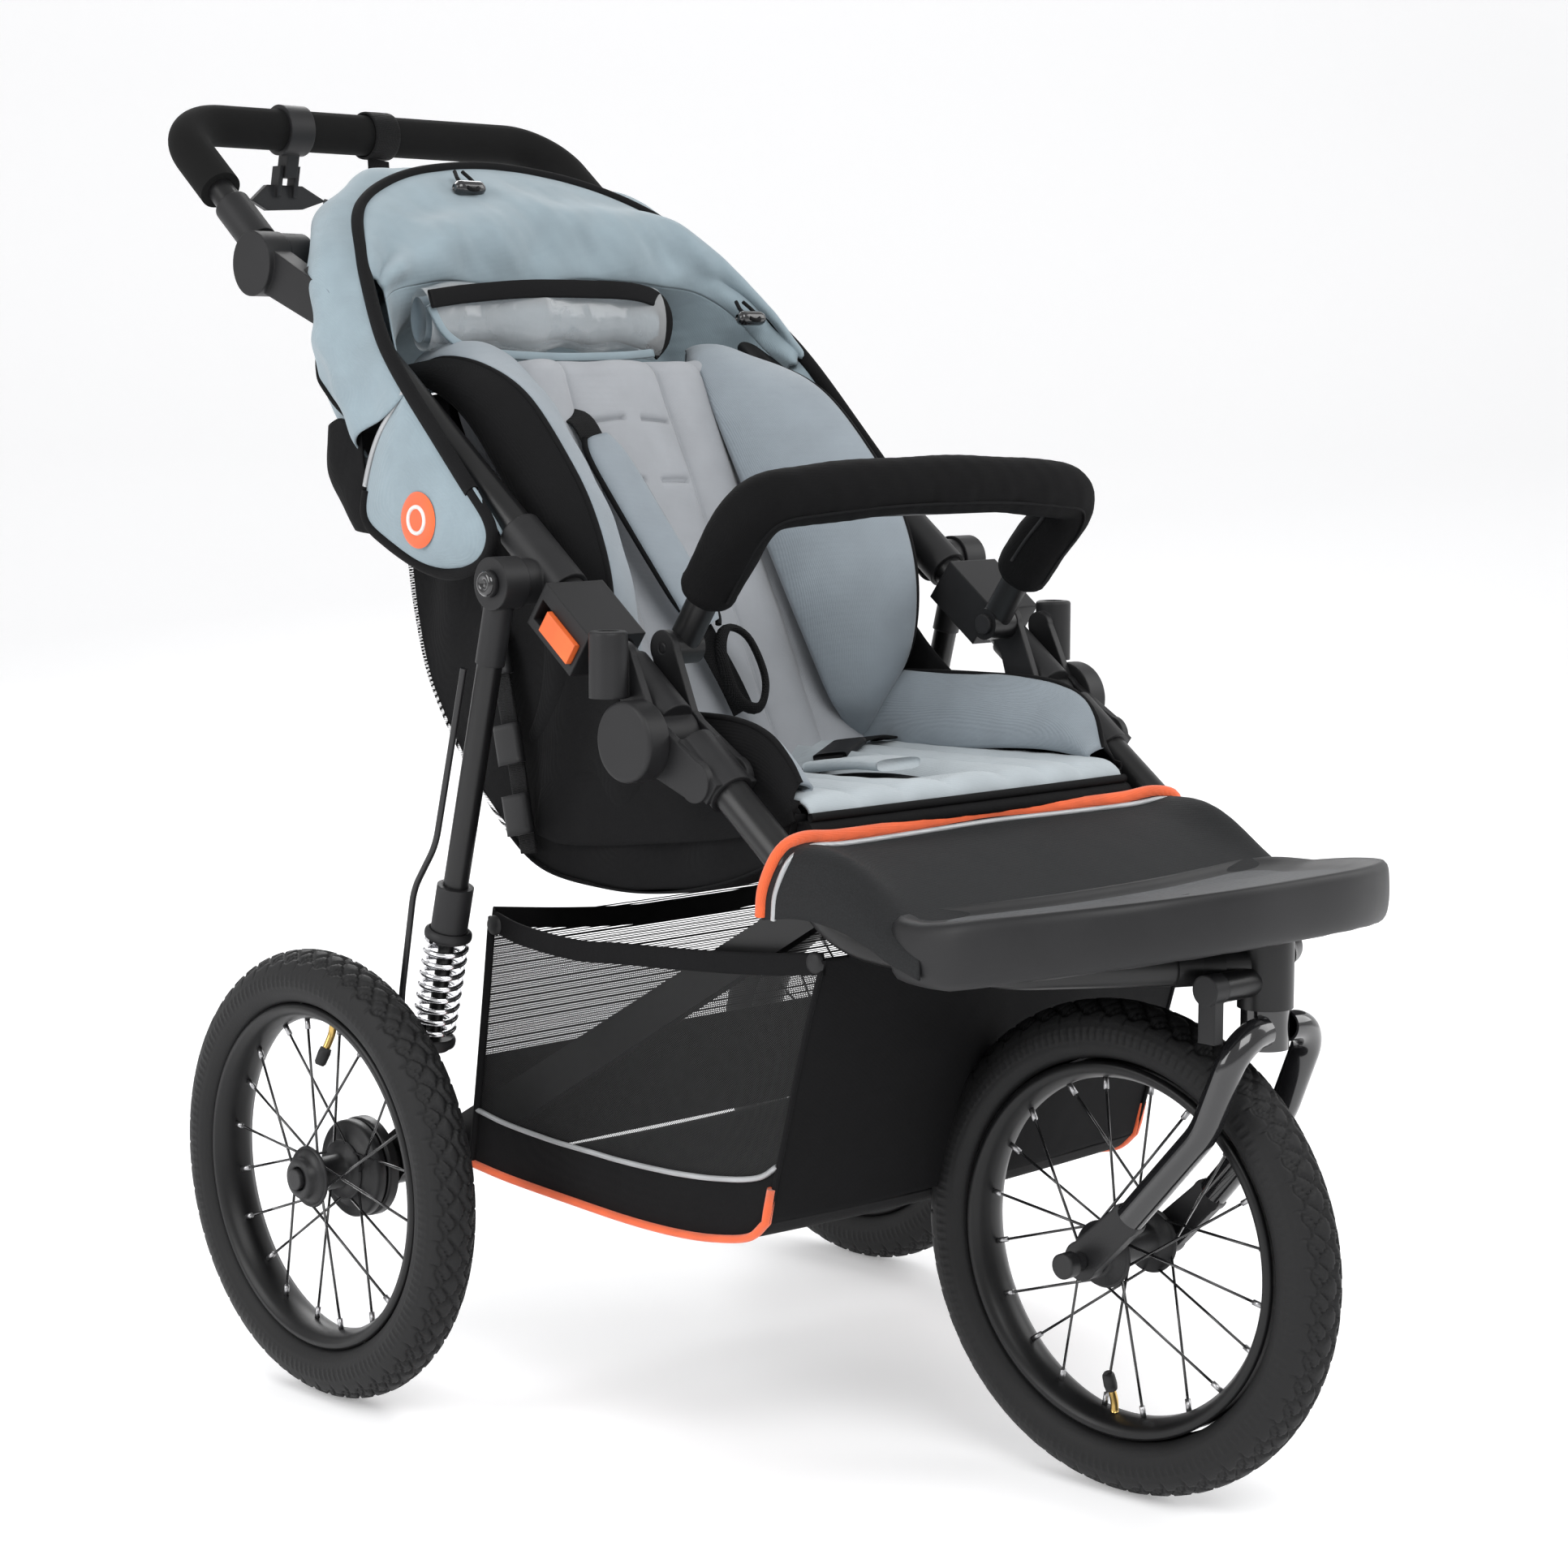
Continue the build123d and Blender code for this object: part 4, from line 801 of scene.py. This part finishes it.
G = np.array([rear_n * (1 - k) + mirror_x(rear_n) * k for k in np.linspace(0, 1, 50)])
G[:, 0, 2] -= np.sin(math.pi * np.linspace(0, 1, 50)) * 16
grid("basket_rear", G[:, :34], "mesh", "root")
grid("basket_rear_band", G[:, 33:], "black", "root", thick=1.4)
sweep("basket_rear_rim", G[:, 0], 1.8, "black", "root", seg=10, r2=8, normal=np.array([0, 1, 0]), power=0.5)
bot_n = near_grid[:, -1]
G = np.array([bot_n * (1 - k) + mirror_x(bot_n) * k for k in np.linspace(0, 1, 40)])
G[..., 2] -= (np.sin(math.pi * np.linspace(0, 1, 40)) * 4)[:, None]
grid("basket_floor", G, "black", "root", thick=2)

# ------------------------------------------------------------------ footrest tray
half_o = [(0, -713), (60, -710), (112, -694), (152, -668), (186, -634), (208, -600), (214, -572), (212, -545), (204, -528), (180, -520), (120, -528), (50, -536)]
ol = [(x, y) for x, y in half_o] + [(-x, y) for x, y in half_o[::-1] if x > 0]
OL = smooth_curve(np.array([(x, y, 0) for x, y in ol], float), 200, closed=True)[:, :2]
ctr = np.array([0, -610.0])


def tray_ring(scale, zf):
    P = ctr + (OL - ctr) * scale
    return np.column_stack([P, zf(P)])


def z_low(P):
    return 387 + np.clip(-580 - P[:, 1], 0, 200) * 0.2


def z_top(P):
    return 430 + np.clip(-560 - P[:, 1], 0, 200) * 0.165


rings = [
    tray_ring(0.03, lambda P: z_low(P) + 6), tray_ring(0.5, lambda P: z_low(P) + 4), tray_ring(0.9, lambda P: z_low(P) + 1), tray_ring(0.955, lambda P: z_low(P)),
    tray_ring(0.985, lambda P: z_low(P) + 3), tray_ring(1.0, lambda P: z_low(P) + 10),
    tray_ring(1.004, lambda P: z_low(P) * 0.5 + z_top(P) * 0.5), tray_ring(0.998, lambda P: z_top(P) - 7), tray_ring(0.985, lambda P: z_top(P) - 2),
    tray_ring(0.965, lambda P: z_top(P)), tray_ring(0.94, lambda P: z_top(P) - 0.5), tray_ring(0.915, lambda P: z_top(P) - 3),
    tray_ring(0.87, lambda P: z_top(P) - 5), tray_ring(0.82, lambda P: z_top(P) - 6),
]
G = np.array(rings)
dense = np.stack([smooth_curve(G[:, i], 60) for i in range(G.shape[1])], 1)
tr_o = grid("footrest_shell", dense, "housing", "root", wrap_v=True)
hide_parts("footrest_tray")
inner_r = tray_ring(0.83, lambda P: z_top(P) - 6)
G = np.array([inner_r * [k, 1, 1] * 1.0 + 0 for k in [1.0]])
G = np.array([np.column_stack([ctr + (inner_r[:, :2] - ctr) * k, z_top(ctr + (inner_r[:, :2] - ctr) * k) - 6.0]) for k in np.linspace(1, 0.02, 24)])
grid("footrest_grip", G, "greyfoot", "root", wrap_v=True)
# ------------------------------------------------------------------ hood
def rim_w(z):
    return np.interp(z, [600, 645, 780, 800, 820, 850, 880, 912, 930, 945, 955, 960], [222, 222, 221, 219, 214, 201, 186, 166, 142, 105, 60, 0])


def rimp(z, side):
    return (side * float(rim_w(z)), -160 + (z - 645) * 1.0215, z)


zz = [700, 740, 776, 800, 820, 850, 880, 912, 930, 945, 955]
rim_pts = [rimp(z, -1) for z in zz] + [(0, 162, 960)] + [rimp(z, 1) for z in zz[::-1]]
RIM = smooth_curve(rim_pts, 240)
sweep("hood_rim_binding", RIM, 6.5, "black", "hood_bow", seg=16, r2=5.0)
low_rim_n = smooth_curve([rimp(706, -1), (-222, -124, 680), (-223, -128, 662), (-223, -113, 646), (-223, -82, 638), (-223, -46, 642), (-223, 0, 659), (-223, 27, 676), (-222, 26, 702), (-222, 8, 740), rimp(776, -1)], 110)
low_rim_f = mirror_x(low_rim_n)
for nm, P in (("right", low_rim_n), ("left", low_rim_f)):
    sweep(f"hood_wing_binding_{nm}", P[:80], 4.5, "black", "upper_frame", seg=12)
    sweep(f"hood_wing_piping_{nm}", P[80:] + [0, 4, 0], 2.4, "silver_tape", "upper_frame", seg=8)
for s, nm in ((-1, "right"), (1, "left")):
    A = [rimp(776, s), rimp(750, s), rimp(720, s), (s * 222, -112, 700), (s * 223, -124, 680), (s * 223, -128, 662), (s * 223, -113, 646)]
    B = [rimp(776, s), (s * 222, 8, 740), (s * 222, 26, 702), (s * 223, 27, 676), (s * 223, 0, 659), (s * 223, -46, 642), (s * 223, -113, 646)]
    G = ruled(A, B, 60, 30)
    t = np.linspace(0, 1, 30)
    u = np.linspace(0, 1, 60)
    G[..., 0] += s * (np.sin(math.pi * t)[None, :] * np.sin(math.pi * u)[:, None] * 9)
    G += fold(G, 0.012, 1.2, 51) * np.sin(math.pi * t)[None, :, None]
    wg = grid(f"hood_wing_{nm}", G, "blue", "upper_frame", thick=2)
    # round badge with a plain ring
    rr = np.array([(0.01, 1.6), (14, 1.6), (19.5, 1.3), (21.5, 0.2)])
    TH3, K = np.meshgrid(np.linspace(0, 2 * math.pi, 48, endpoint=False), np.arange(4), indexing="ij")
    GG = np.stack([s * (231.5 + rr[K, 1]), -50 + rr[K, 0] * np.cos(TH3), 678 + rr[K, 0] * np.sin(TH3)], -1)
    grid(f"hood_badge_{nm}", GG, "orange_tape", "upper_frame", wrap_u=True)
    ring_p = np.array([(s * 233.2, -50 + 10 * math.cos(a), 678 + 10 * math.sin(a)) for a in np.linspace(0, 2 * math.pi, 40, endpoint=False)])
    sweep(f"hood_badge_ring_{nm}", ring_p, 1.6, "white", "upper_frame", seg=8, closed=True)

# outer shell, bunched behind the rim
NU, NV = 240, 70
zz2 = [776, 800, 820, 850, 880, 912, 930, 945, 955]
front = smooth_curve([rimp(z, -1) for z in zz2] + [(0, 162, 960)] + [rimp(z, 1) for z in zz2[::-1]], NU)
rear_k = [(-218, 40, 736), (-219, 72, 770), (-219, 98, 802), (-216, 104, 824), (-206, 120, 850), (-186, 150, 884), (-150, 172, 908), (-95, 184, 926), (0, 190, 934)]
rear_c = smooth_curve(rear_k + [(-x, y, z) for x, y, z in rear_k[-2::-1]], NU)
mid_k = [(-224, 4, 752), (-227, 44, 786), (-226, 66, 820), (-216, 88, 858), (-196, 116, 900), (-164, 148, 932), (-110, 172, 950), (-60, 182, 958), (0, 186, 962)]
mid_c = smooth_curve(mid_k + [(-x, y, z) for x, y, z in mid_k[-2::-1]], NU)
tuck_k = [(-182, 62, 700), (-176, 100, 720), (-172, 128, 742), (-168, 140, 770), (-160, 146, 800), (-140, 150, 826), (-110, 152, 846), (-60, 154, 856), (0, 155, 860)]
tuck_c = smooth_curve(tuck_k + [(-x, y, z) for x, y, z in tuck_k[-2::-1]], NU)
G = np.zeros((NU, NV, 3))
for i in range(NU):
    G[i] = smooth_curve([front[i], mid_c[i], rear_c[i], tuck_c[i]], NV)
n = normals(G)
if n[NU // 2, 20] @ np.array([0, 0.5, 1.0]) < 0:
    n = -n
u = np.linspace(0, 1, NU)[:, None]
t = np.linspace(0, 1, NV)[None, :]
env = np.sin(math.pi * np.clip(t * 1.15, 0, 1)) ** 0.8
g = 1.3 * np.sin(u * 92 + 2.2 * np.sin(t * 5) + 1.5 * np.sin(u * 13)) + 2.6 * np.sin(u * 37 + 4 * t) + 3.2 * np.sin(t * 13 + 5 * np.sin(u * 9))
G = G + n * (g * env * 0.9)[..., None]
G += fold(G, 0.012, 3.0, 61) * env[..., None]
hs = grid("hood_shell", G, "blue", None, thick=1.6)
hood_follow(hs)
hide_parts("hood_canopy", "hood_front_bow")
sweep("hood_rear_binding", G[:, 46], 3.2, "black", "upper_frame", seg=10)

# front fabric hanging back inside the rim, down to a lip
lip = np.array([(-186, 48, 846), (-172, 58, 852), (-150, 64, 857), (-119, 68, 864), (-80, 70, 861), (-37, 70, 860), (15, 70, 866), (68, 70, 867), (131, 68, 861), (177, 58, 846), (196, 40, 822), (206, 8, 792)], float)
inn = [rimp(z, -1) for z in (862, 880, 912, 930, 945, 955)] + [(0, 162, 960)] + [rimp(z, 1) for z in (955, 945, 930, 912, 880, 850, 800)]
front_i = smooth_curve(inn, NU)
lip_c = smooth_curve(lip, NU)
NV2 = 60
t = np.linspace(0, 1, NV2)[None, :]
G = front_i[:, None] * (1 - t[..., None]) + lip_c[:, None] * t[..., None]
bul = np.sin(math.pi * t) ** 0.8
G[..., 1] -= 26 * bul * np.sin(math.pi * u) ** 0.5
G[..., 2] += 6 * bul
f1 = 5.5 * np.sin(u * 17 + 4.0 * t + 0.6) + 5.0 * np.abs(np.sin(u * 13 - 4.5 * t + 0.8)) ** 2.5 + 3.0 * np.sin(u * 47 + 7 * t) * t
f2 = 6.0 * np.sin(t * 8 + 5 * u + 1.2)
n = normals(G)
if n[NU // 2, NV2 // 2] @ np.array([0, -1.0, -0.3]) < 0:
    n = -n
G = G + n * ((f1 * t ** 0.7 + f2 * bul) * (0.35 + 0.65 * bul))[..., None]
G += fold(G, 0.014, 3.4, 71) * bul[..., None]
drape = grid("hood_drape", G, "blue", None, thick=1.6)
hood_follow(drape)
# the fabric behind the lip, down behind the seat back
low_i = smooth_curve([(-190, 10, 742), (-178, 50, 760), (-168, 92, 772), (-150, 108, 784), (-60, 112, 792), (0, 112, 794), (60, 112, 792), (150, 104, 786), (176, 66, 760), (196, 4, 726), (206, -34, 700), (212, -60, 680)], NU)
G = G[:, -1][:, None] * (1 - t[..., None]) + low_i[:, None] * t[..., None]
G[..., 1] += 30 * np.sin(math.pi * t) * np.sin(math.pi * u)
G += fold(G, 0.014, 3.0, 73) * np.sin(math.pi * t)[..., None]
lin = grid("hood_lining", G, "blue", "upper_frame", thick=1.2)
# far and near inner sides between the rim and the seat
for s, nm in ((1, "left"), (-1, "right")):
    A = [rimp(z, s) for z in (850, 800, 760, 700)] + [(s * 216, -132, 668)]
    B = [(s * 196, 40, 800), (s * 190, 10, 770), (s * 186, -30, 730), (s * 184, -84, 690), (s * 184, -120, 660)]
    G = ruled(A, B, 60, 20, bulge=3)
    G += fold(G, 0.015, 2.0, 77)
    grid(f"hood_inner_side_{nm}", G, "blue", "upper_frame", thick=1.2)

# rolled clear window with its black binding
for k, (y0, z0, rx, rz) in enumerate(((46, 832, 16, 27),)):
    xs = np.linspace(-156, 84, 90)
    a = np.linspace(0, 2 * math.pi, 28, endpoint=False)
    wv = 1 + 0.08 * np.sin(xs / 11.0)[:, None]
    zc = z0 + 2 - 0.00028 * (xs + 36) ** 2
    G = np.stack([np.broadcast_to(xs[:, None], (90, 28)), y0 + rx * np.cos(a)[None, :] * wv + 3 * np.sin(xs / 23.0)[:, None], zc[:, None] + rz * np.sin(a)[None, :] * wv], -1)
    G += fold(G, 0.02, 2.4, 81)
    grid("hood_window_roll", G, "film", "upper_frame", wrap_v=True)
    G3 = G * 1.0
    cen = G.mean(1, keepdims=True)
    # the roll's core takes the darker copy of the hood blue, painted shade
    grid("hood_window_core", cen + (G - cen) * 0.72 + [0, 4, 0], "blue_painted_shade", "upper_frame", wrap_v=True, cap=True)
bind = smooth_curve([(-160, 26, 846), (-120, 30, 851), (-60, 30, 856), (0, 30, 857), (50, 30, 856), (80, 34, 850), (92, 36, 836), (90, 38, 818), (78, 38, 806)], 90)
sweep("hood_window_binding", bind, 1.6, "black", "upper_frame", seg=10, r2=7.5, normal=np.array([0, -1, 0.2]), power=0.5)
bind2 = smooth_curve([(-158, 30, 842), (-142, 28, 818), (-110, 28, 806), (-40, 28, 802), (30, 28, 803), (78, 36, 806)], 70)
sweep("hood_window_hem", bind2, 1.4, "blue", "upper_frame", seg=10, r2=3.5, normal=np.array([0, -1, 0.2]), power=0.5)

# toggles and elastic loops at the top
for k, (x, y, z) in enumerate(((-50, 118, 940), (176, 22, 836))):
    P = lines([(x - 15, y, z), (x - 12, y, z), (x + 12, y, z), (x + 15, y, z)], 12)
    sweep(f"hood_toggle_{k}", P, [3, 5.5, 6.2, 6.2, 6.2, 6.2, 6.2, 6.2, 6.2, 6.2, 5.5, 3], "gloss", "upper_frame", seg=16)
    lp = smooth_curve([(x - 4, y + 14, z + 14), (x - 8, y + 3, z + 6), (x - 4, y - 7, z - 1), (x + 4, y - 7, z - 1), (x + 6, y + 3, z + 6), (x + 4, y + 14, z + 14)], 40)
    sweep(f"hood_loop_{k}", lp, 1.7, "webbing", "upper_frame", seg=8)
# rear pocket of black cloth on each side
for s, nm in ((-1, "right"), (1, "left")):
    A = [(s * 217, 40, 740), (s * 218, 66, 752), (s * 216, 86, 748), (s * 190, 104, 744), (s * 120, 118, 742)]
    B = [(s * 217, -14, 650), (s * 218, 22, 664), (s * 214, 54, 668), (s * 188, 74, 664), (s * 120, 82, 660)]
    G = ruled(A, B, 50, 30)
    t_ = np.linspace(0, 1, 30)
    G[..., 1] += (np.sin(math.pi * t_) * 16)[None, :]
    G += fold(G, 0.014, 3.0, 85)
    grid(f"rear_pocket_{nm}", G, "black", "upper_frame", thick=1.6)
back_t = np.array([(-170, 130, 748), (-80, 150, 770), (0, 152, 776), (80, 150, 770), (170, 130, 748)], float)
back_b = np.array([(-168, 50, 650), (-80, 70, 650), (0, 74, 650), (80, 70, 650), (168, 50, 650)], float)
G = ruled(back_t, back_b, 60, 36, bulge=0)
G[..., 1] += (np.sin(math.pi * np.linspace(0, 1, 36)) * 8)[None, :]
G += fold(G, 0.01, 3.0, 87)
grid("hood_rear_apron", G, "black", "upper_frame", thick=1.6)
back_t2 = np.array([(-172, 140, 830), (-80, 156, 858), (0, 158, 862), (80, 156, 858), (172, 140, 830)], float)
G = ruled(back_t2, back_t, 60, 30, bulge=0)
G[..., 1] += (np.sin(math.pi * np.linspace(0, 1, 30)) * 10)[None, :] + 4
G += fold(G, 0.012, 3.0, 88)
grid("hood_rear_panel", G, "blue", "upper_frame", thick=1.6)

# ------------------------------------------------------------------ rear coil springs
ld = np.array([0, -0.254938, 0.966957])
for s, nm in ((-1, "right"), (1, "left")):
    def legp(z):
        return np.array([s * 241.0, -164 + (636 - z) * 111 / 421, z])

    tt = np.linspace(0, 1, 420)
    turns = 8.5
    ex, ey = np.array([1.0, 0, 0]), np.array([0, ld[2], -ld[1]])
    ctr_ = np.array([legp(z) for z in 288 + 76 * tt])
    hel = ctr_ + 15.0 * (np.cos(2 * math.pi * turns * tt)[:, None] * ex + np.sin(2 * math.pi * turns * tt)[:, None] * ey)
    coil = sweep(f"coil_spring_{nm}", hel, 2.3, "chrome", "rear_legs", seg=10)
    coil.data.transform(coil.matrix_world)
    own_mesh(coil)
    if s > 0:
        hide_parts("suspension_springs")
    for k, z in enumerate((368, 284)):
        c0, c1 = legp(z - 4), legp(z + 4)
        sweep(f"spring_seat_{nm}_{k}", lines([c0, c0 + ld * 0.8, c1 - ld * 0.8, c1], 6), [15.5, 17.8, 18.2, 18.2, 17.8, 15.5], "housing", "rear_legs" if k == 0 else "struts", seg=32)

# ------------------------------------------------------------------ small hardware details
def disc(name, x, y, z, r, h, s, mat, body, prof=None):
    rr = np.array(prof or [(0.01, h * 0.9), (r * 0.55, h * 0.95), (r * 0.62, h * 0.6), (r * 0.86, h * 0.62), (r * 0.93, h), (r, h * 0.7), (r, 0)])
    TH3, K = np.meshgrid(np.linspace(0, 2 * math.pi, 56, endpoint=False), np.arange(len(rr)), indexing="ij")
    GG = np.stack([x + s * rr[K, 1], y + rr[K, 0] * np.cos(TH3), z + rr[K, 0] * np.sin(TH3)], -1)
    return grid(name, GG, mat, body, wrap_u=True)


for s, nm in ((-1, "right"), (1, "left")):
    disc(f"leg_bolt_{nm}", s * 255.5, -164, 636, 9.0, 4.0, s, "gloss", "upper_frame", [(0.01, 1.2), (3.0, 1.2), (3.4, 3.4), (7.4, 3.6), (9.0, 2.2), (9.0, 0)])
    disc(f"bumper_bolt_{nm}", s * 177.7, -275, 592, 5.0, 3.0, s, "gloss", "bumper", [(0.01, 0.8), (2.2, 0.8), (2.5, 2.6), (4.3, 2.8), (5.2, 1.4), (5.2, 0)])
# webbing tether round the handle
a = np.linspace(0, 2 * math.pi, 60, endpoint=False)
P = np.array([(10, 330 + 19.6 * math.cos(k), 997 + 19.6 * math.sin(k)) for k in a])
rad_n = np.stack([0 * a, np.cos(a), np.sin(a)], 1)
sweep("handle_tether_wrap", P, 1.3, "webbing", "handle", seg=10, r2=13, closed=True, normal=rad_n, power=0.35)
P = smooth_curve([(10, 326, 976), (8, 322, 960), (6, 318, 940), (4, 320, 926)], 30)
sweep("handle_tether_tail", P, 1.4, "webbing", "handle", seg=10, r2=11, normal=np.array([0, -1, 0.2]), power=0.35)

# give each basket piece its own copy of its mesh
for o in list(bpy.context.scene.objects):
    if o.type == "MESH" and o.name.startswith("basket_") and o.name not in ("basket", "basket_liner"):
        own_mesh(o)
# ------------------------------------------------------------------ stage, light and camera
me = bpy.data.meshes.new("floor_sweep")
pts = []
for yy, z_ in [(-12, 0), (3.5, 0), (4.6, 0.12), (5.6, 0.6), (6.4, 1.6), (6.8, 3.2), (6.9, 7)]:
    pts.append((yy, z_))
rot = math.radians(-43.192)
V, F = [], []
for i, (yy, z_) in enumerate(pts):
    for xx in (-14, 14):
        V.append((xx * math.cos(rot) - yy * math.sin(rot), xx * math.sin(rot) + yy * math.cos(rot), z_ - 0.0002))
for i in range(len(pts) - 1):
    F.append((2 * i, 2 * i + 1, 2 * i + 3, 2 * i + 2))
me.from_pydata(V, [], F)
floor = bpy.data.objects.new("floor_sweep", me)
bpy.context.scene.collection.objects.link(floor)
M["floor"] = plain("floor_white", (0.93, 0.93, 0.94), 0.55, var=0.004, vscale=1.0, spec=0.2)
fb_ = M["floor"].node_tree.nodes["Principled BSDF"]
fb_.inputs["Emission Color"].default_value = (1, 1, 1, 1)
fb_.inputs["Emission Strength"].default_value = 0.24
me.materials.append(M["floor"])
me.polygons.foreach_set("use_smooth", [True] * len(me.polygons))

world = bpy.data.worlds.new("studio")
bpy.context.scene.world = world
world.use_nodes = True
world.node_tree.nodes["Background"].inputs["Color"].default_value = (1, 1, 1, 1)
world.node_tree.nodes["Background"].inputs["Strength"].default_value = 0.55


def area(name, loc, target, size, power, sy=None):
    l = bpy.data.lights.new(name, "AREA")
    l.size = size
    if sy:
        l.shape = "RECTANGLE"
        l.size_y = sy
    l.energy = power
    o = bpy.data.objects.new(name, l)
    o.location = loc
    o.rotation_mode = "QUATERNION"
    o.rotation_quaternion = (Vector(target) - Vector(loc)).to_track_quat("-Z", "Y")
    bpy.context.scene.collection.objects.link(o)


area("key_light", (-0.9, -2.6, 3.0), (0, 0, 0.5), 2.2, 75)
area("left_light", (-3.2, 0.8, 2.0), (0, 0, 0.5), 1.8, 55, 2.4)
area("right_light", (2.8, -1.6, 2.2), (0, 0, 0.5), 1.8, 35, 2.4)
area("back_light", (1.6, 3.0, 2.8), (0, 0, 0.6), 2.2, 60)

cam = bpy.data.cameras.new("camera")
cam.lens = 72.55
cam.sensor_width = 36
co = bpy.data.objects.new("camera", cam)
bpy.context.scene.collection.objects.link(co)
co.location = (-1.6671, -1.9828 + YS / 1000, 0.7770)
az, el = math.radians(-43.192), math.radians(7.143)
back = Vector((math.sin(az) * math.cos(el), -math.cos(az) * math.cos(el), math.sin(el)))
co.rotation_mode = "QUATERNION"
co.rotation_quaternion = (-back).to_track_quat("-Z", "Y")
bpy.context.scene.camera = co

vs = bpy.context.scene.view_settings
vs.view_transform = "Standard"
